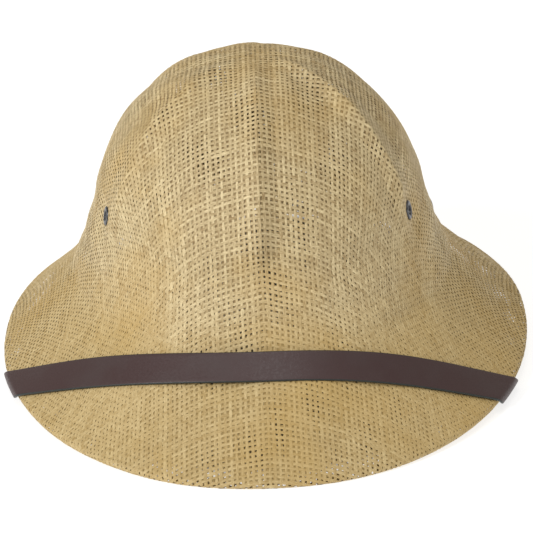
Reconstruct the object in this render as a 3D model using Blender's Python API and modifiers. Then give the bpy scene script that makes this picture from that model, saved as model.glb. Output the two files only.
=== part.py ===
"""Straw pith helmet with a leather chin strap laid over the front of its brim.

Metres, +Z up, with the origin under the middle of the brim, on the surface that the hat
rests on. The wearer's front is -Y. A turn is an angle round the crown, in degrees, 0 at
the front and growing towards +X. A level runs up the straw: 0 at the brim's edge,
1 at the foot of the crown, 2 at the top of its band and 3 at the crown's top.
"""

import math

import bmesh
import bpy
from mathutils import Vector

# Brim: the outline of its outermost line, seen from above.
BRIM_HALF_WIDTH = 0.140
BRIM_FRONT_REACH = 0.1730
BRIM_BACK_REACH = 0.1620
BRIM_PLAN_POWER = 2.11
BRIM_SAG = 0.0012
CROWN_AXIS_Y = (BRIM_FRONT_REACH - BRIM_BACK_REACH) / 2

# How far the brim's edge stands higher at the sides than where it rests.
LEFT_SIDE_RAISE = 0.0040
RIGHT_SIDE_RAISE = 0.0069
RESTING_TURN = 12.0

# Foot of the crown, where it turns out into the brim.
FOOT_HALF_WIDTH = 0.1002
FOOT_FRONT_REACH = 0.1164
FOOT_BACK_REACH = 0.1159
FOOT_HEIGHT = 0.0458

# Top of the plain band, where the ribbed dome starts.
BAND_HALF_WIDTH = 0.0853
BAND_FRONT_REACH = 0.1008
BAND_BACK_REACH = 0.0930
BAND_FRONT_HEIGHT = 0.0818
BAND_SIDE_RISE = 0.0085
BAND_FLARE_POWER = 1.3
PLEAT_SWELL = 0.0006

# Dome: the powers shape its quarter curve from the band to the top, whose cap is flatter.
HAT_HEIGHT = 0.1580
DOME_REACH_POWER = 1.06
DOME_RISE_POWER = 1.21
CAP_FLATTENING = 0.0020
CAP_SHARE = 0.5
CROWN_LEAN = -0.0012

# Six raised seams run down the dome, and the gores between them are a little flat.
RIB_TURNS = (0.0, 56.0, 124.0, 180.0, 236.0, 304.0)
RIB_HEIGHT = 0.0018
RIB_HALF_WIDTH = 0.0095
RIB_POWER = 1.3
RIB_TOP_SHARE = 0.2
RIB_FULL_REACH = 0.3
RIB_FADE_ANGLE = 6.0
GORE_FLATNESS = 0.12
GORE_FADE_ANGLE = 11.0

# Straw sheet, and its edge turned under as a hem.
STRAW_WALL = 0.0015
HEM_RADIUS = 0.0022
HEM_START_ANGLE = 52.0
HEM_FLAT_ANGLE = 65.0
HEM_OUTER_ANGLES = (-28.0, 12.0)
HEM_TAIL = 0.0040

# Leather strap: over the brim, round its edge, under it and up inside the crown.
STRAP_WIDTH = 0.0160
STRAP_THICKNESS = 0.0015
STRAP_GAP = 0.0005
STRAP_FRONT_UP = 0.0608
STRAP_BEND_POWER = 2.33
STRAP_LEFT_CROSSING = 68.0
STRAP_RIGHT_CROSSING = 57.6
STRAP_SKEW_START = 0.4
STRAP_SKEW_END = 0.9
STRAP_END_TURN = 106.0
STRAP_UNDER_LENGTH = 0.0570
STRAP_END_LENGTH = 0.0260
STRAP_ROW_LENGTH = 0.0070
STRAP_HEM_STEPS = 8
STRAP_LANES = 4

# Ventilation eyelets.
EYELET_LEFT_TURN = 66.6
EYELET_RIGHT_TURN = 62.4
EYELET_HEIGHT = 0.0876
EYELET_RADIUS = 0.0055
EYELET_BACK_RADIUS = 0.0045
EYELET_BARREL_RADIUS = 0.0034
EYELET_HOLE_RADIUS = 0.0024
EYELET_FLANGE = 0.0008
EYELET_FRONT_GAP = 0.0008

# Rivets that hold the strap's ends inside the crown.
RIVET_HEAD_RADIUS = 0.0040
RIVET_SHANK_RADIUS = 0.0015
RIVET_HEAD = 0.0010
RIVET_SHOULDER_REACH = 0.7
RIVET_SHOULDER_RISE = 0.8
RIVET_FROM_END = 0.0080

STRAP_LIFT = STRAP_GAP + STRAP_THICKNESS / 2
HEM_WRAP = math.pi * (HEM_RADIUS + STRAP_LIFT)
HEM_CENTRE_HEIGHT = HEM_RADIUS * math.sin(math.radians(HEM_FLAT_ANGLE))
FIT_GAP = 0.0003
FLANGE_GAP = 0.0005
TURN_STEP = 0.5
LEVEL_STEP = 0.01
COLUMNS_PER_GORE = 10
TURNED_STEPS = 20
CUTTER_LENGTH = 0.020

# Rows of the brim, as shares of the way from its edge to the foot of the crown.
BRIM_SHARES = (0.0, 0.09, 0.25, 0.45, 0.65, 0.84)

# Rows of the band: share of the way up, and how far the row swells out past the plain
# line, as a share of the fullest pleat's swell. The soft pleats are the rows that swell.
BAND_ROWS = (
    {"share": 0.00, "swell": 0.0},
    {"share": 0.13, "swell": 1.0},
    {"share": 0.33, "swell": -0.5},
    {"share": 0.55, "swell": 1.0},
    {"share": 0.76, "swell": -0.3},
)

# Rows of the strap past the hem: shares of the way in under the brim, then shares of its
# last length, up the inside of the crown.
UNDER_BRIM_SHARES = (0.08, 0.25, 0.45, 0.65, 0.85, 0.97, 1.0)
INSIDE_CROWN_SHARES = (0.06, 0.19, 0.42, 0.62, 0.81)

# Rows of the dome, as angles up its quarter curve; the last one before its top.
DOME_ANGLES = (0.0, 5.0, 11.0, 19.0, 28.0, 38.0, 48.0, 58.0, 67.0, 75.0, 82.0)

STRAW = {"color": (0.60, 0.44, 0.23), "roughness": 0.75, "metallic": 0.0}
LEATHER = {"color": (0.075, 0.048, 0.045), "roughness": 0.42, "metallic": 0.0}
GUNMETAL = {"color": (0.10, 0.10, 0.105), "roughness": 0.35, "metallic": 1.0}


def signed_power(value, power):
    """Raise the size of a value to a power and keep its sign."""
    return math.copysign(abs(value) ** power, value)


def blend(start, end, share):
    """Value a share of the way from start to end."""
    return start + (end - start) * share


def side_raise(turn):
    """Rise of the brim's edge at a turn; none over the resting stretches."""
    sine = math.sin(math.radians(turn))
    tilt = math.degrees(math.asin(min(abs(sine), 1.0)))
    share = max(tilt - RESTING_TURN, 0.0) / (90.0 - RESTING_TURN)
    full = LEFT_SIDE_RAISE if sine < 0 else RIGHT_SIDE_RAISE
    return full * math.sin(math.pi / 2 * share) ** 2


def ring_point(turn, half_width, front, back, height, power):
    """Point at a turn on a ring that is round or squarish in plan."""
    sine = signed_power(math.sin(math.radians(turn)), 2 / power)
    cosine = signed_power(math.cos(math.radians(turn)), 2 / power)
    reach = front if cosine > 0 else back
    lean = CROWN_LEAN * height / HAT_HEIGHT
    return Vector((half_width * sine + lean, CROWN_AXIS_Y - reach * cosine, height))


def from_axis(point):
    """Level line to a point from the crown's axis."""
    return Vector((point.x, point.y - CROWN_AXIS_Y, 0.0))


def band_height(turn):
    """Height of the band's top: lowest at front and back, where it dips between ribs."""
    return BAND_FRONT_HEIGHT + BAND_SIDE_RISE * math.sin(math.radians(turn)) ** 2


def hem_arc(angle, radius):
    """Place on a round of the hem as (inward, height) from the brim's outermost line."""
    inward = HEM_RADIUS - radius * math.cos(math.radians(angle))
    return inward, HEM_CENTRE_HEIGHT + radius * math.sin(math.radians(angle))


def brim_point(turn, share):
    """Point on the brim's upper side, a share of the way from its edge to the crown."""
    edge_in, edge_height = hem_arc(HEM_START_ANGLE, HEM_RADIUS)
    sag = BRIM_SAG * 4 * share * (1 - share)
    return ring_point(
        turn,
        blend(BRIM_HALF_WIDTH - edge_in, FOOT_HALF_WIDTH, share) - sag,
        blend(BRIM_FRONT_REACH - edge_in, FOOT_FRONT_REACH, share) - sag,
        blend(BRIM_BACK_REACH - edge_in, FOOT_BACK_REACH, share) - sag,
        blend(edge_height + side_raise(turn), FOOT_HEIGHT, share) - sag,
        blend(BRIM_PLAN_POWER, 2.0, share),
    )


def band_swell(share):
    """Swell of the band's pleats, straight between the rows of their table."""
    for low, high in zip(BAND_ROWS, BAND_ROWS[1:]):
        if low["share"] <= share <= high["share"]:
            part = (share - low["share"]) / (high["share"] - low["share"])
            return PLEAT_SWELL * blend(low["swell"], high["swell"], part)
    last = BAND_ROWS[-1]
    fade = max(1.0 - share, 0.0) / (1.0 - last["share"])
    return PLEAT_SWELL * last["swell"] * fade


def band_point(turn, share):
    """Point on the plain band, a share of the way from the crown's foot to the dome."""
    swell = band_swell(share)
    inward = 1 - (1 - share) ** BAND_FLARE_POWER
    return ring_point(
        turn,
        blend(FOOT_HALF_WIDTH, BAND_HALF_WIDTH, inward) + swell,
        blend(FOOT_FRONT_REACH, BAND_FRONT_REACH, inward) + swell,
        blend(FOOT_BACK_REACH, BAND_BACK_REACH, inward) + swell,
        blend(FOOT_HEIGHT, band_height(turn), share),
        2.0,
    )


def rib_rise(point, angle, reach):
    """How far the dome's seams lift a point, the most on a seam's crest."""
    nearest = RIB_HALF_WIDTH
    for turn in RIB_TURNS:
        crest = from_axis(band_point(turn, 1.0)).normalized()
        nearest = min(nearest, abs(crest.cross(from_axis(point)).z))
    from_band = min(angle / RIB_FADE_ANGLE, 1.0)
    from_top = blend(RIB_TOP_SHARE, 1.0, min(reach / RIB_FULL_REACH, 1.0))
    return RIB_HEIGHT * from_band * from_top * (1 - nearest / RIB_HALF_WIDTH) ** RIB_POWER


def gore_share(turn):
    """Reach of a straight-sided gore at a turn, as a share of the round dome's."""
    for start, end in zip(RIB_TURNS, RIB_TURNS[1:] + (360.0,)):
        if start <= turn % 360.0 <= end:
            half = math.radians((end - start) / 2)
            from_middle = math.radians(turn % 360.0 - (start + end) / 2)
            return math.cos(half) / math.cos(from_middle)
    return 1.0


def dome_point(turn, angle):
    """Point on the ribbed dome at an angle up its quarter curve."""
    upward = math.radians(angle)
    reach = max(math.cos(upward), 0.0) ** DOME_REACH_POWER
    rise = math.sin(upward) ** DOME_RISE_POWER
    flatness = GORE_FLATNESS * min(angle / GORE_FADE_ANGLE, 1.0)
    width = reach * blend(1.0, gore_share(turn), flatness)
    cap = CAP_FLATTENING * max(1 - (reach / CAP_SHARE) ** 2, 0.0) ** 2
    point = ring_point(
        turn,
        BAND_HALF_WIDTH * width,
        BAND_FRONT_REACH * width,
        BAND_BACK_REACH * width,
        blend(band_height(turn), HAT_HEIGHT + CAP_FLATTENING, rise) - cap,
        2.0,
    )
    outward = from_axis(point)
    if outward.length > 1e-6:
        outward.normalize()
    outward = outward * math.cos(upward) + Vector((0.0, 0.0, math.sin(upward)))
    return point + outward * rib_rise(point, angle, reach)


def straw_point(turn, level):
    """Point on the straw's outer side at a turn and level."""
    if level <= 1.0:
        return brim_point(turn, level)
    if level <= 2.0:
        return band_point(turn, level - 1.0)
    return dome_point(turn, 90.0 * min(level - 2.0, 1.0))


def straw_normal(turn, level):
    """Direction straight out of the straw's outer side."""
    round_hat = straw_point(turn + TURN_STEP, level) - straw_point(turn - TURN_STEP, level)
    low = max(level - LEVEL_STEP, 0.0)
    up_hat = straw_point(turn, low + 2 * LEVEL_STEP) - straw_point(turn, low)
    return round_hat.cross(up_hat).normalized()


def hem_point(turn, inward, height):
    """Point of the hem, measured in from the brim's outermost line and up from its lowest."""
    return ring_point(
        turn,
        BRIM_HALF_WIDTH - inward,
        BRIM_FRONT_REACH - inward,
        BRIM_BACK_REACH - inward,
        height + side_raise(turn),
        BRIM_PLAN_POWER,
    )


def hem_rows():
    """Rows of the hem as (inward, height), from its inner end round to the outermost line.

    The row between the two flat angles is the narrow strip that the hat rests on.
    """
    end_angle = HEM_START_ANGLE - 180.0
    inward, height = hem_arc(end_angle, HEM_RADIUS)
    along = math.radians(end_angle - 90.0)
    rows = [(inward - HEM_TAIL * math.cos(along), height + HEM_TAIL * math.sin(along))]
    for angle in (end_angle, HEM_FLAT_ANGLE - 180.0, -HEM_FLAT_ANGLE) + HEM_OUTER_ANGLES:
        rows.append(hem_arc(angle, HEM_RADIUS))
    return rows


def column_turns():
    """Turns of the shell's columns: evenly spaced between each seam and the next."""
    turns = []
    for start, end in zip(RIB_TURNS, RIB_TURNS[1:] + (360.0,)):
        for column in range(COLUMNS_PER_GORE):
            turns.append(blend(start, end, column / COLUMNS_PER_GORE))
    return turns


def new_material(name, look):
    """Principled material of one plain colour."""
    material = bpy.data.materials.new(name)
    material.use_nodes = True
    shader = material.node_tree.nodes["Principled BSDF"]
    shader.inputs["Base Color"].default_value = (*look["color"], 1.0)
    shader.inputs["Roughness"].default_value = look["roughness"]
    shader.inputs["Metallic"].default_value = look["metallic"]
    return material


def add_object(name, mesh, collection, look=None):
    """Put a mesh in a collection as an object, with its own material."""
    item = bpy.data.objects.new(name, mesh)
    collection.objects.link(item)
    if look is not None:
        mesh.materials.append(new_material(name, look))
    return item


def loft(name, rows, closed, tip=None):
    """Mesh through rows of points; closed rows are rings, and a tip closes the last one."""
    bm = bmesh.new()
    rings = [[bm.verts.new(point) for point in row] for row in rows]
    count = len(rings[0])
    last = count if closed else count - 1
    for low, high in zip(rings, rings[1:]):
        for column in range(last):
            after = (column + 1) % count
            bm.faces.new((low[column], low[after], high[after], high[column]))
    if tip is not None:
        top = bm.verts.new(tip)
        for column in range(last):
            bm.faces.new((rings[-1][column], rings[-1][(column + 1) % count], top))
    mesh = bpy.data.meshes.new(name)
    bm.to_mesh(mesh)
    bm.free()
    mesh.shade_smooth()
    return mesh


def solidify(item, thickness, offset):
    """Give an open surface its thickness."""
    modifier = item.modifiers.new("wall", "SOLIDIFY")
    modifier.thickness = thickness
    modifier.offset = offset
    modifier.use_even_offset = True
    return modifier


def cut(item, cutters):
    """Cut an item with each of the cutters."""
    for cutter in cutters:
        modifier = item.modifiers.new("hole", "BOOLEAN")
        modifier.operation = "DIFFERENCE"
        modifier.solver = "EXACT"
        modifier.object = cutter


def turned(name, profile, ring, place, outward, collection, look=None):
    """Piece turned about its own Z axis from an (out, up) profile, set along a direction."""
    mesh = bpy.data.meshes.new(name)
    points = [(out, 0.0, up) for out, up in profile]
    edges = [(index, index + 1) for index in range(len(points) - 1)]
    if ring:
        edges.append((len(points) - 1, 0))
    mesh.from_pydata(points, edges, [])
    item = add_object(name, mesh, collection, look)
    screw = item.modifiers.new("turn", "SCREW")
    screw.steps = TURNED_STEPS
    screw.render_steps = TURNED_STEPS
    screw.use_merge_vertices = True
    screw.merge_threshold = 0.00001
    screw.use_smooth_shade = True
    item.location = place
    item.rotation_mode = "QUATERNION"
    item.rotation_quaternion = outward.to_track_quat("Z", "Y")
    return item


def hole_cutter(name, radius, place, outward, collection):
    """Rod that cuts a round hole through the wall."""
    half = CUTTER_LENGTH / 2
    profile = [(0.0, half), (radius, half), (radius, -half), (0.0, -half)]
    cutter = turned(name, profile, False, place, outward, collection)
    cutter.hide_render = True
    cutter.display_type = "WIRE"
    return cutter


def make_straw_shell(collection, cutters):
    """Crown and brim, moulded from one sheet of woven straw with its edge turned under."""
    turns = column_turns()
    rows = [[hem_point(turn, inward, height) for turn in turns] for inward, height in hem_rows()]
    rows += [[brim_point(turn, share) for turn in turns] for share in BRIM_SHARES]
    rows += [[band_point(turn, row["share"]) for turn in turns] for row in BAND_ROWS]
    rows += [[dome_point(turn, angle) for turn in turns] for angle in DOME_ANGLES]
    sheet = loft("straw_shell", rows, True, dome_point(0.0, 90.0))
    shell = add_object("straw_shell", sheet, collection, STRAW)
    solidify(shell, STRAW_WALL, -1.0)
    cut(shell, cutters)
    return shell


def brim_length(turn):
    """Length up the brim at a turn, from its edge to the foot of the crown."""
    return (brim_point(turn, 1.0) - brim_point(turn, 0.0)).length


def band_length(turn):
    """Length up the band at a turn, from the foot of the crown to the dome."""
    return (band_point(turn, 1.0) - band_point(turn, 0.0)).length


def strap_position(turn, up):
    """Point in the middle of the strap's thickness, beside the straw.

    Up is a length: above 0 it runs up the brim's upper side from the edge, below 0 it runs
    round the hem, then under the brim and up the inside of the crown.
    """
    if up >= 0:
        level = up / brim_length(turn)
        return straw_point(turn, level) + straw_normal(turn, level) * STRAP_LIFT
    if up > -HEM_WRAP:
        angle = HEM_START_ANGLE + 180.0 * up / HEM_WRAP
        return hem_point(turn, *hem_arc(angle, HEM_RADIUS + STRAP_LIFT))
    below = -up - HEM_WRAP
    level = below / STRAP_UNDER_LENGTH
    if level > 1.0:
        level = 1.0 + (below - STRAP_UNDER_LENGTH) / band_length(turn)
    past_hem = max(below - HEM_TAIL, 0.0) / (STRAP_UNDER_LENGTH - HEM_TAIL)
    depth = blend(2 * HEM_RADIUS, STRAW_WALL, min(past_hem, 1.0))
    return straw_point(turn, level) - straw_normal(turn, level) * (depth + STRAP_LIFT)


def strap_drops():
    """Lengths from the brim's edge, round the hem and inward, where the strap has rows."""
    foot = HEM_WRAP + STRAP_UNDER_LENGTH
    drops = [HEM_WRAP * step / STRAP_HEM_STEPS for step in range(STRAP_HEM_STEPS + 1)]
    drops += [HEM_WRAP + STRAP_UNDER_LENGTH * share for share in UNDER_BRIM_SHARES]
    drops += [foot + STRAP_END_LENGTH * share for share in INSIDE_CROWN_SHARES]
    return drops + [foot + STRAP_END_LENGTH]


def strap_route(side, crossing):
    """Middle line of half the strap as (turn, up, skew), from the front to the strap's end.

    A skew of 0 sets the row square across the strap, and 1 sets it along the hem.
    """
    route = []
    steps = round(math.radians(crossing) * BRIM_FRONT_REACH / STRAP_ROW_LENGTH)
    for step in range(steps):
        share = step / steps
        up = STRAP_FRONT_UP * (1 - share ** STRAP_BEND_POWER)
        skew = (share - STRAP_SKEW_START) / (STRAP_SKEW_END - STRAP_SKEW_START)
        route.append((side * crossing * share, up, min(max(skew, 0.0), 1.0)))
    slope = crossing / (STRAP_BEND_POWER * STRAP_FRONT_UP)
    drops = strap_drops()
    bend = (STRAP_END_TURN - crossing - slope * drops[-1]) / drops[-1] ** 2
    for drop in drops:
        route.append((side * (crossing + slope * drop + bend * drop ** 2), -drop, 1.0))
    return route


def strap_row(before, here, after):
    """Points across the strap at one place of its route."""
    turn, up, skew = here
    ahead = strap_position(turn + TURN_STEP, up)
    behind = strap_position(turn - TURN_STEP, up)
    per_degree = (ahead - behind).length / (2 * TURN_STEP)
    along = Vector(((after[0] - before[0]) * per_degree, after[1] - before[1])).normalized()
    points = []
    for lane in range(STRAP_LANES + 1):
        across = STRAP_WIDTH * (lane / STRAP_LANES - 0.5)
        shift = -skew * across * along.x / along.y if skew > 0 else 0.0
        round_hat = shift * along.x - across * along.y
        up_hat = shift * along.y + across * along.x
        points.append(strap_position(turn + round_hat / per_degree, up + up_hat))
    return points


def make_chin_strap(collection, cutters):
    """Leather strap, a flat ribbon with its two ends inside the crown."""
    left = strap_route(-1.0, STRAP_LEFT_CROSSING)
    right = strap_route(1.0, STRAP_RIGHT_CROSSING)
    route = left[:0:-1] + right
    rows = []
    for index, here in enumerate(route):
        before = route[max(index - 1, 0)]
        after = route[min(index + 1, len(route) - 1)]
        rows.append(strap_row(before, here, after))
    strap = add_object("chin_strap", loft("chin_strap", rows, False), collection, LEATHER)
    solidify(strap, STRAP_THICKNESS, 0.0)
    cut(strap, cutters)
    return strap


def eyelet_place(side):
    """Middle of an eyelet on the straw's outer side, and the direction out of it."""
    turn = -EYELET_LEFT_TURN if side < 0 else EYELET_RIGHT_TURN
    level = 1.0 + (EYELET_HEIGHT - FOOT_HEIGHT) / (band_height(turn) - FOOT_HEIGHT)
    return straw_point(turn, level), straw_normal(turn, level)


def make_eyelet(name, side, collection):
    """Metal ring with a flange on both sides of the straw."""
    place, outward = eyelet_place(side)
    front = EYELET_FRONT_GAP
    back = -STRAW_WALL - FLANGE_GAP
    profile = [
        (EYELET_HOLE_RADIUS, front + EYELET_FLANGE / 2),
        ((EYELET_HOLE_RADIUS + EYELET_RADIUS) / 2, front + EYELET_FLANGE),
        (EYELET_RADIUS, front + EYELET_FLANGE / 2),
        (EYELET_RADIUS, front),
        (EYELET_BARREL_RADIUS, front),
        (EYELET_BARREL_RADIUS, back),
        (EYELET_BACK_RADIUS, back),
        (EYELET_BACK_RADIUS, back - EYELET_FLANGE),
        (EYELET_HOLE_RADIUS, back - EYELET_FLANGE),
    ]
    return turned(name, profile, True, place, outward, collection, GUNMETAL)


def rivet_place(side, crossing):
    """Middle of a rivet on the crown's outer side, and the direction out of it."""
    before, end = strap_route(side, crossing)[-2:]
    share = RIVET_FROM_END / (before[1] - end[1])
    turn = blend(end[0], before[0], share)
    below = -end[1] - HEM_WRAP - RIVET_FROM_END
    level = 1.0 + (below - STRAP_UNDER_LENGTH) / band_length(turn)
    return straw_point(turn, level), straw_normal(turn, level)


def make_rivet(name, side, crossing, collection):
    """Plain rivet through the crown's wall and the strap's end."""
    place, outward = rivet_place(side, crossing)
    front = FLANGE_GAP
    back = -STRAW_WALL - STRAP_GAP - STRAP_THICKNESS - FLANGE_GAP
    shoulder = RIVET_SHOULDER_REACH * RIVET_HEAD_RADIUS
    profile = [
        (0.0, front + RIVET_HEAD),
        (shoulder, front + RIVET_SHOULDER_RISE * RIVET_HEAD),
        (RIVET_HEAD_RADIUS, front),
        (RIVET_SHANK_RADIUS, front),
        (RIVET_SHANK_RADIUS, back),
        (RIVET_HEAD_RADIUS, back),
        (shoulder, back - RIVET_SHOULDER_RISE * RIVET_HEAD),
        (0.0, back - RIVET_HEAD),
    ]
    return turned(name, profile, False, place, outward, collection, GUNMETAL)


def main():
    """Clear the scene and build the helmet."""
    for item in list(bpy.data.objects):
        bpy.data.objects.remove(item, do_unlink=True)
    parts = bpy.data.collections.new("pith_helmet")
    tools = bpy.data.collections.new("cutters")
    bpy.context.scene.collection.children.link(parts)
    bpy.context.scene.collection.children.link(tools)

    sides = (("left", -1.0, STRAP_LEFT_CROSSING), ("right", 1.0, STRAP_RIGHT_CROSSING))
    eyelet_hole = EYELET_BARREL_RADIUS + FIT_GAP
    rivet_hole = RIVET_SHANK_RADIUS + FIT_GAP
    eyelet_cutters = []
    rivet_cutters = []
    for word, side, crossing in sides:
        make_eyelet("eyelet_" + word, side, parts)
        make_rivet("strap_rivet_" + word, side, crossing, parts)
        place, outward = eyelet_place(side)
        eyelet_cutters.append(hole_cutter("eyelet_cutter_" + word, eyelet_hole, place, outward, tools))
        place, outward = rivet_place(side, crossing)
        rivet_cutters.append(hole_cutter("rivet_cutter_" + word, rivet_hole, place, outward, tools))
    make_straw_shell(parts, eyelet_cutters + rivet_cutters)
    make_chin_strap(parts, rivet_cutters)


main()
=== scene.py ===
# %% [markdown]
# # A straw pith helmet
#
# The hat is two layers of woven straw pressed together in one mould, with a leather chin strap
# laid over the front of the brim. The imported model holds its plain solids. This lesson dresses
# them. The open weave is what the eye sees first, so every strand becomes a thin strip of real
# mesh, and the finishes then only have to look like straw, leather and metal.

import math

import bpy
import numpy as np
from mathutils import Matrix, Vector


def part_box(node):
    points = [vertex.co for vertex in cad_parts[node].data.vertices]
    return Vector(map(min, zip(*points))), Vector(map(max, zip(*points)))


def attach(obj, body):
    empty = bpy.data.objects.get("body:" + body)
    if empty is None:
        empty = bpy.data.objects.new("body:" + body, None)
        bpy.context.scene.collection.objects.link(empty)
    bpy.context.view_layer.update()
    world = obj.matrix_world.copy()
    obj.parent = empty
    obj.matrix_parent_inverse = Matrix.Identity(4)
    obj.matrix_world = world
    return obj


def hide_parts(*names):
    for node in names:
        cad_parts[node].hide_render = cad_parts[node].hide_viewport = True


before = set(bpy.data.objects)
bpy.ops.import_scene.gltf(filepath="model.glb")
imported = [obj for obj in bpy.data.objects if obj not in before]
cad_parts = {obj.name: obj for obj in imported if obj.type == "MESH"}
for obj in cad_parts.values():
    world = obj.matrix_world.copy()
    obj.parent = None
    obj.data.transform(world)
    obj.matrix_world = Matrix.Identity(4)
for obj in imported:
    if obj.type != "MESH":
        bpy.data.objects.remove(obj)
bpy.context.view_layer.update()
shell_low, shell_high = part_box("straw_shell")
print("its straw shell, metres:", [round(side, 4) for side in shell_high - shell_low])

# %% [markdown]
# ## Camera
#
# The photograph was taken from a little over a metre away with a long lens, slightly above the
# brim, and the hat leans a little to the left in it. A camera that is aimed at a point inside
# the crown and then rolled gives the same picture. The camera comes first, because every later
# choice is judged through it.

# %% Aim the camera
CAMERA_TARGET = Vector((0.00175, 0.0055, 0.03778))
CAMERA_DISTANCE = 1.239
CAMERA_ELEVATION = math.radians(24.44)
CAMERA_ROLL = math.radians(2.1)
CAMERA_LENS = 156.5
CAMERA_SENSOR = 36.0


def make_camera():
    """Camera in front of the hat and a little above it, rolled so that the hat leans left."""
    right = Vector((1.0, 0.0, 0.0))
    up = Vector((0.0, math.sin(CAMERA_ELEVATION), math.cos(CAMERA_ELEVATION)))
    back = Vector((0.0, -math.cos(CAMERA_ELEVATION), math.sin(CAMERA_ELEVATION)))
    side = right * math.cos(CAMERA_ROLL) - up * math.sin(CAMERA_ROLL)
    top = right * math.sin(CAMERA_ROLL) + up * math.cos(CAMERA_ROLL)
    camera = bpy.data.objects.new("camera", bpy.data.cameras.new("camera"))
    camera.data.lens = CAMERA_LENS
    camera.data.sensor_width = CAMERA_SENSOR
    camera.matrix_world = Matrix((side, top, back)).transposed().to_4x4()
    camera.location = CAMERA_TARGET + back * CAMERA_DISTANCE
    bpy.context.scene.collection.objects.link(camera)
    bpy.context.scene.camera = camera
    return camera


camera = make_camera()
print("camera at", [round(value, 3) for value in camera.location])

# %% [markdown]
# ## Small helpers for finishes
#
# Every finish below is a tree of shader nodes. A few helpers keep those trees short to read: one
# adds a node with its settings, one joins a value or another node's output to a socket, and the
# rest make the nodes that come up most. Blender's Mix node has its colour sockets behind those
# for numbers and vectors, so their places are named here.

# %% Helpers for node trees
MIX_FIRST_COLOR = 6
MIX_SECOND_COLOR = 7
MIX_COLOR_RESULT = 2
NOISE_LOW = 0.3
NOISE_HIGH = 0.7


def add_node(tree, kind, **settings):
    """Add a node of a kind and give it its settings."""
    node = tree.nodes.new(kind)
    for name, value in settings.items():
        setattr(node, name, value)
    return node


def join(tree, source, node, socket):
    """Feed a socket from another socket, or set it to a plain value."""
    if isinstance(source, bpy.types.NodeSocket):
        tree.links.new(source, node.inputs[socket])
    else:
        node.inputs[socket].default_value = source


def math_node(tree, operation, first, second=0.0, kind="ShaderNodeMath"):
    """Output of a math node with two inputs, for numbers or, by its kind, for vectors."""
    node = add_node(tree, kind, operation=operation)
    join(tree, first, node, 0)
    join(tree, second, node, 1)
    return node.outputs[0]


def mix_colors(tree, share, first, second):
    """Output of a colour that goes from the first to the second."""
    node = add_node(tree, "ShaderNodeMix", data_type="RGBA")
    join(tree, share, node, "Factor")
    join(tree, first, node, MIX_FIRST_COLOR)
    join(tree, second, node, MIX_SECOND_COLOR)
    return node.outputs[MIX_COLOR_RESULT]


def noise(tree, vector, scale, detail=2.0):
    """Output of soft noise, mostly between NOISE_LOW and NOISE_HIGH."""
    node = add_node(tree, "ShaderNodeTexNoise")
    join(tree, vector, node, "Vector")
    join(tree, scale, node, "Scale")
    join(tree, detail, node, "Detail")
    return node.outputs["Fac"]


def rescale(tree, value, low, high, new_low=0.0, new_high=1.0):
    """Output of a value moved from one range to another, kept inside the new one."""
    node = add_node(tree, "ShaderNodeMapRange", clamp=True)
    for socket, source in enumerate((value, low, high, new_low, new_high)):
        join(tree, source, node, socket)
    return node.outputs[0]


def bump(tree, height, distance, strength=1.0):
    """Normal that follows a height, whose full step is a distance in metres."""
    node = add_node(tree, "ShaderNodeBump")
    join(tree, strength, node, "Strength")
    join(tree, distance, node, "Distance")
    join(tree, height, node, "Height")
    return node.outputs[0]


def new_finish(name):
    """Material with a Principled shader, as (material, tree, shader)."""
    material = bpy.data.materials.new(name)
    material.use_nodes = True
    tree = material.node_tree
    return material, tree, tree.nodes["Principled BSDF"]


# %% [markdown]
# ## Floor and light
#
# The hat stands on a plain white light table, whose own glow hides the hat's shadow. Under the
# hat the glow is cut out as a painted shadow, because the open weave has to show a dark inside.
# The seams show by one side being lighter than the other, so the main light is a soft sun from
# the upper left. A weaker lamp overhead gives the strap its sheen, and a pale, slightly warm sky
# fills the rest.

# %% Floor and lights
WHITE = (1.0, 1.0, 1.0, 1.0)
FLOOR_SIZE = 8.0
FLOOR_DARK = (0.42, 0.42, 0.42, 1.0)
FLOOR_PALE = (0.45, 0.45, 0.45, 1.0)
FLOOR_CLOUDS_A_METRE = 9.0
FLOOR_ROUGHNESS = 0.85
FLOOR_GLOSS = 0.1
TABLE_GLOW = 0.76
# Oval under the hat where the table's glow is cut out, as a painted shadow.
PAINTED_SHADOW_MIDDLE = (0.0, 0.0055, 0.0)
PAINTED_SHADOW_REACH = (0.134, 0.160, 1.0)
PAINTED_SHADOW_EDGE = 0.05
SKY_STRENGTH = 0.49
SKY_COLOR = (1.0, 0.955, 0.86, 1.0)
SUN_FROM = (-0.66, -0.52, 0.57)
SUN_STRENGTH = 1.62
SUN_SPREAD = math.radians(16.0)
LAMP_PLACE = (0.05, -0.45, 1.5)
LAMP_SIZE = 0.6
LAMP_POWER = 3.5


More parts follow.
